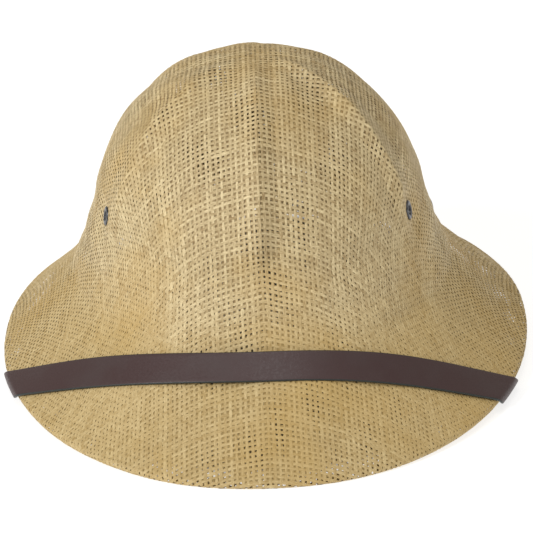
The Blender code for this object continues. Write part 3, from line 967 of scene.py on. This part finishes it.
def strand_widths(base, room, layer, chance):
    """Half width of a strand at each of its points: wider over the brim, uneven by chance."""
    width = layer["width"] * STRAND_HALF_WIDTH * room
    width = width * (1 + STRAND_WIDTH_CHANGE * chance.uniform(-1.0, 1.0))
    width = width * (1 + PLACE_WIDTH_CHANGE * chance.uniform(-1.0, 1.0, len(base)))
    below_top = BRIM_GAIN_TOP - base[:, 2]
    on_brim = np.clip(below_top / (BRIM_GAIN_TOP - BRIM_GAIN_FULL), 0.0, 1.0)
    return width * (1 + BRIM_WIDTH_GAIN * on_brim)


def strip_rows(middle, out, width, drift):
    """Rows of (left, crest, right) points of one strip, and the lengths along it."""
    beside = unit(np.cross(out, unit(np.gradient(middle, axis=0))))
    middle = middle + beside * drift[:, None]
    side = beside * width[:, None]
    belly = middle - out * STRAND_BELLY
    rows = np.stack((belly + side, middle + out * STRAND_CREST, belly - side), axis=1)
    rows[..., 2] = np.maximum(rows[..., 2], RESTING_HEIGHT)
    steps = np.linalg.norm(np.diff(middle, axis=0), axis=-1)
    return rows, np.concatenate(([0.0], np.cumsum(steps)))


def strand_strips(crossings, rooms, over, layer, chance):
    """Strips of one strand, one for each unbroken run of it that is kept."""
    middles = (crossings[:-1] + crossings[1:]) / 2
    chart = np.empty((2 * len(crossings) - 1, 2))
    chart[0::2] = crossings
    chart[1::2] = middles
    room = np.interp(np.arange(len(chart)) / 2, np.arange(len(crossings)), rooms)
    wave = np.zeros(len(chart))
    wave[0::2] = np.where(over, 1.0, -1.0)
    good = np.isfinite(chart).all(-1)
    chart = np.nan_to_num(chart)
    good &= kept_share(chart, layer["tail"])
    base = read_sheet(even_sheet, chart)
    out = read_sheet(even_normals, chart)
    good &= clear_of_holes(base)
    centre = base + out * (STRAND_WAVE * wave - layer["depth"])[:, None]
    width = strand_widths(base, room, layer, chance)
    strand_drift = chance.uniform(-1.0, 1.0)
    place_drift = chance.uniform(-1.0, 1.0, len(chart))
    drift = STRAND_DRIFT * (strand_drift + PLACE_DRIFT_SHARE * place_drift)
    strips = []
    for start, end in runs_of(good):
        if end - start < SHORTEST_RUN:
            continue
        part = slice(start, end, layer["stride"])
        strips.append(strip_rows(centre[part], out[part], width[part], drift[part]))
    return strips


print("narrowest share of a width:", round(crossing_room(outer_net, even_sheet).min(), 3))

# %% [markdown]
# Blender makes a mesh fastest when it gets whole arrays. Each piece of the weave holds the
# strands of one layer that run one way. Two maps go with it: one says how far along and across
# its strand a point is, which the straw finish reads, and the other gives every facet its own
# small square, which a texture can be baked to. Edges sharper than an angle stay crisp, because
# a strand that is shaded smooth all round looks like a noodle.

# %% Build a mesh from strips
BAKE_MARGIN = 0.06
STRAND_EDGE_ANGLE = math.radians(60.0)
STRIP_SIDES = ((0, 1), (1, 2), (2, 0))
ACROSS_SIDES = ((0.0, 0.5), (0.5, 1.0), (1.0, 2.0))


def strip_faces(count, first):
    """Facets of one closed strip of rows of three points, starting at a vertex number."""
    row = first + 3 * np.arange(count - 1)
    faces = []
    for left, right in STRIP_SIDES:
        faces.append(np.stack((row + left, row + 3 + left, row + 3 + right, row + right), -1))
    return np.stack(faces, axis=1).reshape(-1, 4)


def strip_map(lengths):
    """Along and across places of a strip's facets, corner by corner.

    Across goes from 0 at the left edge over 0.5 at the crest to 1 at the right edge, and on to
    2 round the belly.
    """
    places = []
    for left, right in ACROSS_SIDES:
        low, high = lengths[:-1], lengths[1:]
        flat = np.full(len(low), left)
        far = np.full(len(low), right)
        corners = ((low, flat), (high, flat), (high, far), (low, far))
        places.append(np.stack([np.stack(corner, -1) for corner in corners], axis=1))
    return np.stack(places, axis=1).reshape(-1, 4, 2)


def bake_map(count):
    """A small square of the unit square for each of a number of facets."""
    side = math.ceil(math.sqrt(count))
    index = np.arange(count)
    corner = np.stack((index % side, index // side), -1)[:, None, :]
    low, high = BAKE_MARGIN, 1 - BAKE_MARGIN
    square = np.array(((low, low), (high, low), (high, high), (low, high)))
    return (corner + square[None]) / side


def add_uv_map(mesh, title, values):
    """Give a mesh a named map with a pair of values for each corner of its facets."""
    layer = mesh.uv_layers.new(name=title)
    layer.data.foreach_set("uv", values.ravel())


def add_point_values(mesh, title, values):
    """Give a mesh a named value at each of its points."""
    attribute = mesh.attributes.new(title, "FLOAT", "POINT")
    attribute.data.foreach_set("value", values.astype(np.float32))


def show_piece(name, mesh, finish):
    """Object for a mesh, with its finish, in the scene."""
    mesh.materials.append(finish)
    piece = bpy.data.objects.new(name, mesh)
    bpy.context.scene.collection.objects.link(piece)
    return piece


def make_weave(name, strips, tones, finish):
    """One piece of the weave, from the strips of its strands."""
    points, faces, places, caps, tone = [], [], [], [], []
    first = 0
    for (rows, lengths), value in zip(strips, tones):
        count = len(rows)
        points.append(rows.reshape(-1, 3))
        faces.append(strip_faces(count, first))
        places.append(strip_map(lengths))
        last = first + 3 * (count - 1)
        caps += [(first, first + 1, first + 2), (last, last + 2, last + 1)]
        tone.append(np.full(3 * count, value))
        first += 3 * count
    faces = np.concatenate(faces)
    places = np.concatenate(places)
    mesh = bpy.data.meshes.new(name)
    mesh.from_pydata(np.concatenate(points), [], faces.tolist() + caps)
    squares = bake_map(len(faces) + len(caps))
    cap_places = np.zeros((3 * len(caps), 2))
    cap_squares = squares[len(faces):, :3].reshape(-1, 2)
    side_squares = squares[:len(faces)].reshape(-1, 2)
    add_uv_map(mesh, "Strand", np.concatenate((places.reshape(-1, 2), cap_places)))
    add_uv_map(mesh, "OFBake", np.concatenate((side_squares, cap_squares)))
    add_point_values(mesh, "strand_tone", np.concatenate(tone))
    mesh.shade_smooth()
    mesh.set_sharp_from_angle(angle=STRAND_EDGE_ANGLE)
    piece = show_piece(name, mesh, finish)
    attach(piece, "root")
    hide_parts("straw_shell")
    print(name, "strips:", len(strips), "triangles:", 2 * len(faces) + len(caps))


# %% [markdown]
# ## Straw finish
#
# Split straw has fine fibres along it, a slow change of tone from strand to strand, and warmer
# blotches where the stalks were darker. The fibre pattern is a node group, because both layers
# use it. It reads the map along the strands, so the fibres follow every bend. The inner layer is
# darker, because little light gets between the layers, and the brim is a warmer yellow than the
# crown.

# %% Node groups that several finishes use
FIBRES_A_METRE = 420.0
TWIST_LENGTH = 0.0042
FIBRES_ACROSS = 5.0
FINE_SHIFT = 61.0
FINE_LOW = 0.34
FINE_HIGH = 0.66
TONE_CHANGES_A_METRE = 110.0
TONE_SHIFT = 83.0
STRAND_TONE_SHARE = 0.30
LENGTH_TONE_SHARE = 0.25
GRAIN_SHARE = 0.45
TWIST_SHARE = 0.7


def new_group(name, inputs, outputs):
    """Empty node group with named number and vector inputs and number outputs."""
    group = bpy.data.node_groups.new(name, "ShaderNodeTree")
    for title, kind, value in inputs:
        socket = group.interface.new_socket(title, in_out="INPUT", socket_type=kind)
        if value is not None:
            socket.default_value = value
    for title in outputs:
        group.interface.new_socket(title, in_out="OUTPUT", socket_type="NodeSocketFloat")
    return group, add_node(group, "NodeGroupInput"), add_node(group, "NodeGroupOutput")


def make_fibre_group():
    """Fibres of a straw strand: a tone for its colour and a height for its bump.

    The strand's own tone also shifts the patterns, so that no two strands have the same.
    """
    inputs = (
        ("Along and across", "NodeSocketVector", None),
        ("Strand tone", "NodeSocketFloat", 0.5),
        ("Fibres a metre", "NodeSocketFloat", FIBRES_A_METRE),
        ("Twist length", "NodeSocketFloat", TWIST_LENGTH),
    )
    tree, given, result = new_group("straw fibres", inputs, ("Tone", "Height"))
    split = add_node(tree, "ShaderNodeSeparateXYZ")
    join(tree, given.outputs["Along and across"], split, 0)
    along, across = split.outputs[0], split.outputs[1]
    own_tone = given.outputs["Strand tone"]
    streak = add_node(tree, "ShaderNodeCombineXYZ")
    join(tree, math_node(tree, "MULTIPLY", along, given.outputs["Fibres a metre"]), streak, 0)
    join(tree, math_node(tree, "MULTIPLY", across, FIBRES_ACROSS), streak, 1)
    join(tree, math_node(tree, "MULTIPLY", own_tone, FINE_SHIFT), streak, 2)
    fine = noise(tree, streak.outputs[0], 1.0, 3.0)
    turns = math_node(tree, "DIVIDE", along, given.outputs["Twist length"])
    phase = math_node(tree, "MULTIPLY", math_node(tree, "ADD", turns, across), 2 * math.pi)
    twist = rescale(tree, math_node(tree, "SINE", phase), -1.0, 1.0)
    slow = add_node(tree, "ShaderNodeCombineXYZ")
    join(tree, math_node(tree, "MULTIPLY", along, TONE_CHANGES_A_METRE), slow, 0)
    join(tree, math_node(tree, "MULTIPLY", own_tone, TONE_SHIFT), slow, 1)
    slow_noise = noise(tree, slow.outputs[0], 1.0, 1.0)
    length_tone = rescale(tree, slow_noise, NOISE_LOW, NOISE_HIGH)
    toned = math_node(tree, "MULTIPLY", own_tone, STRAND_TONE_SHARE)
    drifted = math_node(tree, "MULTIPLY", length_tone, LENGTH_TONE_SHARE)
    grain = math_node(tree, "MULTIPLY", rescale(tree, fine, FINE_LOW, FINE_HIGH), GRAIN_SHARE)
    total = math_node(tree, "ADD", math_node(tree, "ADD", toned, drifted), grain)
    join(tree, total, result, "Tone")
    twisted = math_node(tree, "MULTIPLY", twist, TWIST_SHARE)
    join(tree, math_node(tree, "ADD", twisted, fine), result, "Height")
    return tree


def make_blotch_group():
    """Soft patches over a surface, from its own coordinates: 0 in most places, 1 in patches."""
    inputs = (
        ("Patches a metre", "NodeSocketFloat", 25.0),
        ("Start", "NodeSocketFloat", 0.5),
        ("Full", "NodeSocketFloat", 0.7),
    )
    tree, given, result = new_group("soft patches", inputs, ("Mask",))
    place = add_node(tree, "ShaderNodeTexCoord").outputs["Object"]
    cloud = noise(tree, place, given.outputs["Patches a metre"], 3.0)
    join(tree, rescale(tree, cloud, given.outputs["Start"], given.outputs["Full"]), result, "Mask")
    return tree


fibre_group = make_fibre_group()
blotch_group = make_blotch_group()


def use_group(tree, group, **values):
    """Place a node group in a finish and give its inputs, named with _ for each space."""
    node = add_node(tree, "ShaderNodeGroup", node_tree=group)
    for name, value in values.items():
        join(tree, value, node, name.replace("_", " "))
    return node


print("node groups:", fibre_group.name, "and", blotch_group.name)

# %% Straw for both layers
DARK_STRAW = (0.22, 0.125, 0.034, 1.0)
PALE_STRAW = (0.865, 0.725, 0.432, 1.0)
OCHRE = (0.50, 0.32, 0.095, 1.0)
BRIM_TINT = (0.46, 0.31, 0.095, 1.0)
BRIM_TINT_SHARE = 0.42
BRIM_TINT_TOP = 0.062
BRIM_TINT_FULL = 0.036
STRAW_PATCHES = {"Patches_a_metre": 22.0, "Start": 0.48, "Full": 0.72}
OCHRE_SHARE = 0.5
DARK_ROUGHNESS = 0.72
PALE_ROUGHNESS = 0.5
FIBRE_RELIEF = 0.00006
STRAW_GLOSS = 0.4
OUTER_SHADE = (1.0, 1.0, 1.0)
INNER_SHADE = (0.62, 0.56, 0.46)


def shaded(color, shade):
    """A colour times a shade of red, green and blue."""
    return tuple(value * part for value, part in zip(color, shade)) + (1.0,)


def make_straw(name, shade):
    """Straw finish; a shade under 1 makes the whole layer darker."""
    material, tree, shader = new_finish(name)
    strand = add_node(tree, "ShaderNodeUVMap", uv_map="Strand").outputs[0]
    tone = add_node(tree, "ShaderNodeAttribute", attribute_name="strand_tone").outputs["Fac"]
    fibres = use_group(tree, fibre_group, Along_and_across=strand, Strand_tone=tone)
    tone = fibres.outputs["Tone"]
    patches = use_group(tree, blotch_group, **STRAW_PATCHES)
    color = mix_colors(tree, tone, shaded(DARK_STRAW, shade), shaded(PALE_STRAW, shade))
    patch = math_node(tree, "MULTIPLY", patches.outputs["Mask"], OCHRE_SHARE)
    color = mix_colors(tree, patch, color, OCHRE)
    place = add_node(tree, "ShaderNodeSeparateXYZ")
    join(tree, add_node(tree, "ShaderNodeTexCoord").outputs["Object"], place, 0)
    low = rescale(tree, place.outputs[2], BRIM_TINT_TOP, BRIM_TINT_FULL, 0.0, BRIM_TINT_SHARE)
    join(tree, mix_colors(tree, low, color, BRIM_TINT), shader, "Base Color")
    roughness = rescale(tree, tone, 0.0, 1.0, DARK_ROUGHNESS, PALE_ROUGHNESS)
    join(tree, roughness, shader, "Roughness")
    join(tree, bump(tree, fibres.outputs["Height"], FIBRE_RELIEF), shader, "Normal")
    shader.inputs["Specular IOR Level"].default_value = STRAW_GLOSS
    return material


outer_straw = make_straw("outer straw", OUTER_SHADE)
inner_straw = make_straw("inner straw", INNER_SHADE)
print("straw finishes:", outer_straw.name, "and", inner_straw.name)

# %% [markdown]
# The inner layer's strands are a little wider, they end where the hem begins, and they have
# points at the crossings alone, because nobody sees them from close by.

# %% Weave both layers
OUTER = {"width": 1.0, "depth": OUTER_DEPTH, "tail": KEPT_TAIL, "stride": 1}
INNER = {"width": 1.1, "depth": INNER_DEPTH, "tail": -HEM_LENGTH, "stride": 2}
OUTER_SEED = 11
INNER_SEED = 12
TONE_SPREAD = 2.2


def weave_layer(net, layer, seed):
    """Strands of a layer as two lists, warp and weft, of (number, strips, tone)."""
    chance = np.random.default_rng(seed)
    room = crossing_room(net, even_sheet)
    middle = net.shape[0] // 2
    number = np.arange(net.shape[0])
    directions = []
    for way, rows, rooms in (("warp", net, room), ("weft", net.transpose(1, 0, 2), room.T)):
        strands = []
        for line in number:
            over = (line + number) % 2 == (0 if way == "warp" else 1)
            tone = chance.beta(TONE_SPREAD, TONE_SPREAD)
            if not np.isfinite(rows[line, :, 0]).any():
                continue
            strips = strand_strips(rows[line], rooms[line], over, layer, chance)
            strands.append((line - middle, strips, tone))
        directions.append(strands)
    return directions


def make_pieces(strands, titles, finish):
    """Pieces of the weave; with two titles, strands below the middle go in the first."""
    for index, title in enumerate(titles):
        chosen = [s for s in strands if len(titles) == 1 or (s[0] >= 0) == bool(index)]
        strips = [strip for _, found, _ in chosen for strip in found]
        tones = [tone for _, found, tone in chosen for _ in found]
        make_weave(title, strips, tones, finish)


outer_warp, outer_weft = weave_layer(outer_net, OUTER, OUTER_SEED)
inner_warp, inner_weft = weave_layer(inner_net, INNER, INNER_SEED)
make_pieces(outer_warp, ("outer_warp_left", "outer_warp_right"), outer_straw)
make_pieces(outer_weft, ("outer_weft_back", "outer_weft_front"), outer_straw)
make_pieces(inner_warp, ("inner_warp",), inner_straw)
make_pieces(inner_weft, ("inner_weft",), inner_straw)

# %% [markdown]
# ## Leather strap
#
# The strap is a flat strip of smooth leather with rounded, painted edges. It is made as rows of
# points across the strap, each lifted off the straw by half its thickness, and the two faces are
# then set out from that middle surface. The lanes near each edge follow a small round. Where the
# strap goes over the brim's edge at a slant, its rows are skewed to stay along the edge.

# %% Shape of the strap
STRAP_EDGE = 0.0006
EDGE_ANGLES = (0.0, 25.0, 50.0, 75.0, 90.0)
INNER_LANES = (0.8, 0.55, 0.3)
PAINTED_BELOW = 0.97


def strap_position(turn, up):
    """Points in the middle of the strap's thickness, beside the straw."""
    over = np.maximum(up, 0.0) / brim_length(turn)
    above = straw_point(turn, over) + straw_normal(turn, over) * STRAP_LIFT
    angle = HEM_START_ANGLE + 180.0 * np.clip(up, -HEM_WRAP, 0.0) / HEM_WRAP
    round_hem = hem_point(turn, *hem_arc(angle, HEM_RADIUS + STRAP_LIFT))
    below = np.maximum(-up - HEM_WRAP, 0.0)
    inside = 1.0 + (below - STRAP_UNDER_LENGTH) / band_length(turn)
    level = np.where(below > STRAP_UNDER_LENGTH, inside, below / STRAP_UNDER_LENGTH)
    past_hem = np.maximum(below - KEPT_TAIL, 0.0) / (STRAP_UNDER_LENGTH - KEPT_TAIL)
    depth = mix(2 * HEM_RADIUS, STRAW_WALL, np.minimum(past_hem, 1.0)) + STRAP_LIFT
    under = straw_point(turn, level) - straw_normal(turn, level) * depth[..., None]
    near = np.where((up > -HEM_WRAP)[..., None], round_hem, under)
    return np.where((up >= 0.0)[..., None], above, near)


def strap_lanes():
    """Places across the strap as (distance from its middle, share of the full thickness)."""
    half = STRAP_WIDTH / 2
    lanes = []
    for angle in EDGE_ANGLES:
        cosine, sine = math.cos(math.radians(angle)), math.sin(math.radians(angle))
        lanes.append((half - STRAP_EDGE * (1 - cosine), sine))
    lanes += [((half - STRAP_EDGE) * share, 1.0) for share in INNER_LANES]
    left = [(-across, full) for across, full in lanes]
    return left + [(0.0, 1.0)] + lanes[::-1]


def strap_row(before, here, after, across):
    """Points across the strap's middle surface at one place of its route."""
    turn, up, skew = here
    turns = np.array((turn + TURN_STEP, turn - TURN_STEP))
    ends = strap_position(turns, np.array((up, up)))
    per_degree = np.linalg.norm(ends[0] - ends[1]) / (2 * TURN_STEP)
    along = unit(np.array(((after[0] - before[0]) * per_degree, after[1] - before[1])))
    shift = -skew * across * along[0] / along[1] if skew > 0 else 0.0 * across
    round_hat = shift * along[0] - across * along[1]
    up_hat = shift * along[1] + across * along[0]
    return strap_position(turn + round_hat / per_degree, up + up_hat)


def strap_middle(across):
    """The strap's middle surface, row by row from its left end to its right end."""
    left = strap_route(-1.0, STRAP_LEFT_CROSSING)
    right = strap_route(1.0, STRAP_RIGHT_CROSSING)
    route = left[:0:-1] + right
    rows = []
    for index, here in enumerate(route):
        before = route[max(index - 1, 0)]
        after = route[min(index + 1, len(route) - 1)]
        rows.append(strap_row(before, here, after, across))
    return np.array(rows)


def tube_faces(rings, count):
    """Facets of a closed tube of rings of a number of points, with its two ends."""
    faces = []
    for first in range(0, (rings - 1) * count, count):
        for here in range(count):
            after = (here + 1) % count
            corners = (here, count + here, count + after, after)
            faces.append(tuple(first + corner for corner in corners))
    faces.append(tuple(range(count)))
    faces.append(tuple(range(rings * count - 1, (rings - 1) * count - 1, -1)))
    return faces


def make_strap(finish):
    """The leather strap as one closed strip with rounded edges."""
    lanes = strap_lanes()
    across = np.array([lane[0] for lane in lanes])
    full = np.array([lane[1] for lane in lanes])
    middle = strap_middle(across)
    out = unit(np.cross(np.gradient(middle, axis=0), np.gradient(middle, axis=1)))
    lift = out * (STRAP_THICKNESS / 2 * full)[None, :, None]
    rings = np.concatenate((middle + lift, (middle - lift)[:, -2:0:-1]), axis=1)
    steps = np.linalg.norm(np.diff(middle[:, len(lanes) // 2], axis=0), axis=-1)
    length = np.concatenate(([0.0], np.cumsum(steps)))
    places = np.concatenate((across, across[-2:0:-1]))
    edge = np.concatenate((full, full[-2:0:-1])) < PAINTED_BELOW
    mesh = bpy.data.meshes.new("leather_chin_strap")
    mesh.from_pydata(rings.reshape(-1, 3), [], tube_faces(*rings.shape[:2]))
    mesh.validate()
    grid = np.stack(np.broadcast_arrays(length[:, None], places[None, :]), -1).reshape(-1, 2)
    corners = np.empty(len(mesh.loops), np.int32)
    mesh.loops.foreach_get("vertex_index", corners)
    add_uv_map(mesh, "Strap", grid[corners])
    add_point_values(mesh, "painted_edge", np.tile(edge, len(rings)))
    mesh.shade_smooth()
    strap = show_piece("leather_chin_strap", mesh, finish)
    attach(strap, "root")
    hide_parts("chin_strap")
    print("strap length, metres:", round(float(length[-1]), 3))


print("points across the strap:", len(strap_lanes()))

# %% [markdown]
# Smooth strap leather is nearly one colour. Its pores and grain break up the highlight, handling
# makes it a little lighter in patches, and its cut edges are painted almost black.

# %% Leather finish
LEATHER_BROWN = (0.047, 0.0215, 0.0225, 1.0)
LEATHER_WORN = (0.052, 0.030, 0.031, 1.0)
EDGE_PAINT = (0.018, 0.023, 0.022, 1.0)
LEATHER_PATCHES = {"Patches_a_metre": 38.0, "Start": 0.42, "Full": 0.68}
PORES_A_METRE = 1500.0
LEATHER_GRAINS_A_METRE = 900.0
LEATHER_GRAIN_SHARE = 0.6
LEATHER_RELIEF = 0.00004
LEATHER_RELIEF_SHARE = 0.7
LEATHER_GLOSS = 0.5
PAINT_START = 0.3
PAINT_FULL = 0.8
GRAIN_LOW = 0.35
GRAIN_HIGH = 0.65
SMOOTH_LEATHER = 0.36
ROUGH_LEATHER = 0.5


def make_leather():
    """Smooth brown leather with pores, faint wear and dark painted edges."""
    material, tree, shader = new_finish("strap leather")
    place = add_node(tree, "ShaderNodeTexCoord").outputs["Object"]
    painted = add_node(tree, "ShaderNodeAttribute", attribute_name="painted_edge").outputs["Fac"]
    patches = use_group(tree, blotch_group, **LEATHER_PATCHES)
    color = mix_colors(tree, patches.outputs["Mask"], LEATHER_BROWN, LEATHER_WORN)
    pores = add_node(tree, "ShaderNodeTexVoronoi", feature="SMOOTH_F1")
    join(tree, place, pores, "Vector")
    pores.inputs["Scale"].default_value = PORES_A_METRE
    grain = noise(tree, place, LEATHER_GRAINS_A_METRE, 4.0)
    grain_height = math_node(tree, "MULTIPLY", grain, LEATHER_GRAIN_SHARE)
    height = math_node(tree, "ADD", pores.outputs["Distance"], grain_height)
    edge = rescale(tree, painted, PAINT_START, PAINT_FULL)
    join(tree, mix_colors(tree, edge, color, EDGE_PAINT), shader, "Base Color")
    roughness = rescale(tree, grain, GRAIN_LOW, GRAIN_HIGH, SMOOTH_LEATHER, ROUGH_LEATHER)
    join(tree, roughness, shader, "Roughness")
    relief = bump(tree, height, LEATHER_RELIEF, LEATHER_RELIEF_SHARE)
    join(tree, relief, shader, "Normal")
    shader.inputs["Specular IOR Level"].default_value = LEATHER_GLOSS
    return material


make_strap(make_leather())

# %% [markdown]
# ## Eyelets and rivets
#
# These are small turned metal parts, so each is a profile turned about its axis. The eyelet's
# flange is rolled: it swells from the hole and curves back down to the straw. Handling has
# rubbed the dark finish thin in patches.

# %% Turned metal parts
TURN_STEPS = 64
EYELET_PROFILE = (
    (0.0034, -0.0026), (0.0024, -0.0026), (0.0022, -0.0020), (0.0022, 0.0000),
    (0.0026, 0.0004), (0.0033, 0.0006), (0.0041, 0.0006), (0.0047, 0.0004),
    (0.0051, 0.0000), (0.0050, -0.0003), (0.0034, -0.0003),
)
RIVET_DOME = (
    (0.0, 0.0011), (0.0014, 0.0010), (0.0026, 0.0008), (0.0036, 0.0005), (0.0040, 0.0001),
)
WELD_REACH = 0.00001


def make_turned(name, node, profile, closed, where, finish):
    """Metal piece turned about its own axis, set on the straw at a (place, direction).

    A closed profile makes a ring with a hole, an open one starts and ends on the axis.
    """
    turn = 2 * math.pi * np.arange(TURN_STEPS) / TURN_STEPS
    points = []
    for radius, height in profile:
        ring = (radius * np.cos(turn), radius * np.sin(turn), np.full(TURN_STEPS, height))
        points.append(np.stack(ring, -1))
    faces = []
    rings = len(profile)
    for ring in range(rings if closed else rings - 1):
        low, high = ring * TURN_STEPS, (ring + 1) % rings * TURN_STEPS
        for step in range(TURN_STEPS):
            after = (step + 1) % TURN_STEPS
            faces.append((low + step, high + step, high + after, low + after))
    mesh = bpy.data.meshes.new(name)
    mesh.from_pydata(np.concatenate(points), [], faces)
    place, outward = where
    rotation = Vector(outward).to_track_quat("Z", "Y").to_matrix().to_4x4()
    mesh.transform(Matrix.Translation(Vector(place)) @ rotation)
    mesh.shade_smooth()
    piece = show_piece(name, mesh, finish)
    weld = piece.modifiers.new("weld", "WELD")
    weld.merge_threshold = WELD_REACH
    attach(piece, "root")
    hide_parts(node)
    print(name, "points in its profile:", len(profile))


eyelet_width = 2 * max(radius for radius, _ in EYELET_PROFILE)
print("eyelet across its flange, metres:", eyelet_width)

# %% Dark metal finish
GUNMETAL = (0.060, 0.062, 0.068, 1.0)
RUBBED_METAL = (0.20, 0.20, 0.205, 1.0)
METAL_PATCHES = {"Patches_a_metre": 420.0, "Start": 0.5, "Full": 0.7}
SCRATCHES_A_METRE = 2500.0
SCRATCH_RELIEF = 0.00002
SMOOTH_METAL = 0.28
SCRATCHED_METAL = 0.46
METAL_SHARE = 0.9


def make_gunmetal():
    """Dark satin metal, rubbed lighter in patches."""
    material, tree, shader = new_finish("gunmetal")
    place = add_node(tree, "ShaderNodeTexCoord").outputs["Object"]
    patches = use_group(tree, blotch_group, **METAL_PATCHES)
    color = mix_colors(tree, patches.outputs["Mask"], GUNMETAL, RUBBED_METAL)
    join(tree, color, shader, "Base Color")
    scratches = noise(tree, place, SCRATCHES_A_METRE, 3.0)
    roughness = rescale(tree, scratches, NOISE_LOW, NOISE_HIGH, SMOOTH_METAL, SCRATCHED_METAL)
    join(tree, roughness, shader, "Roughness")
    join(tree, bump(tree, scratches, SCRATCH_RELIEF), shader, "Normal")
    shader.inputs["Metallic"].default_value = METAL_SHARE
    return material


def rivet_profile():
    """Half section of a rivet: its outer dome, its shank and its inner dome."""
    inside = STRAW_WALL + STRAP_GAP + STRAP_THICKNESS
    edge = RIVET_DOME[-1][1]
    shank = [(RIVET_SHANK_RADIUS, edge), (RIVET_SHANK_RADIUS, -inside - edge)]
    below = [(radius, -inside - height) for radius, height in RIVET_DOME[::-1]]
    return list(RIVET_DOME) + shank + below


gunmetal = make_gunmetal()
for side in SIDES:
    word = side["word"]
    where = eyelet_place(side["sign"])
    make_turned("rolled_eyelet_" + word, "eyelet_" + word, EYELET_PROFILE, True, where, gunmetal)
    where = rivet_place(side["sign"], side["crossing"])
    profile = rivet_profile()
    make_turned("domed_rivet_" + word, "strap_rivet_" + word, profile, False, where, gunmetal)
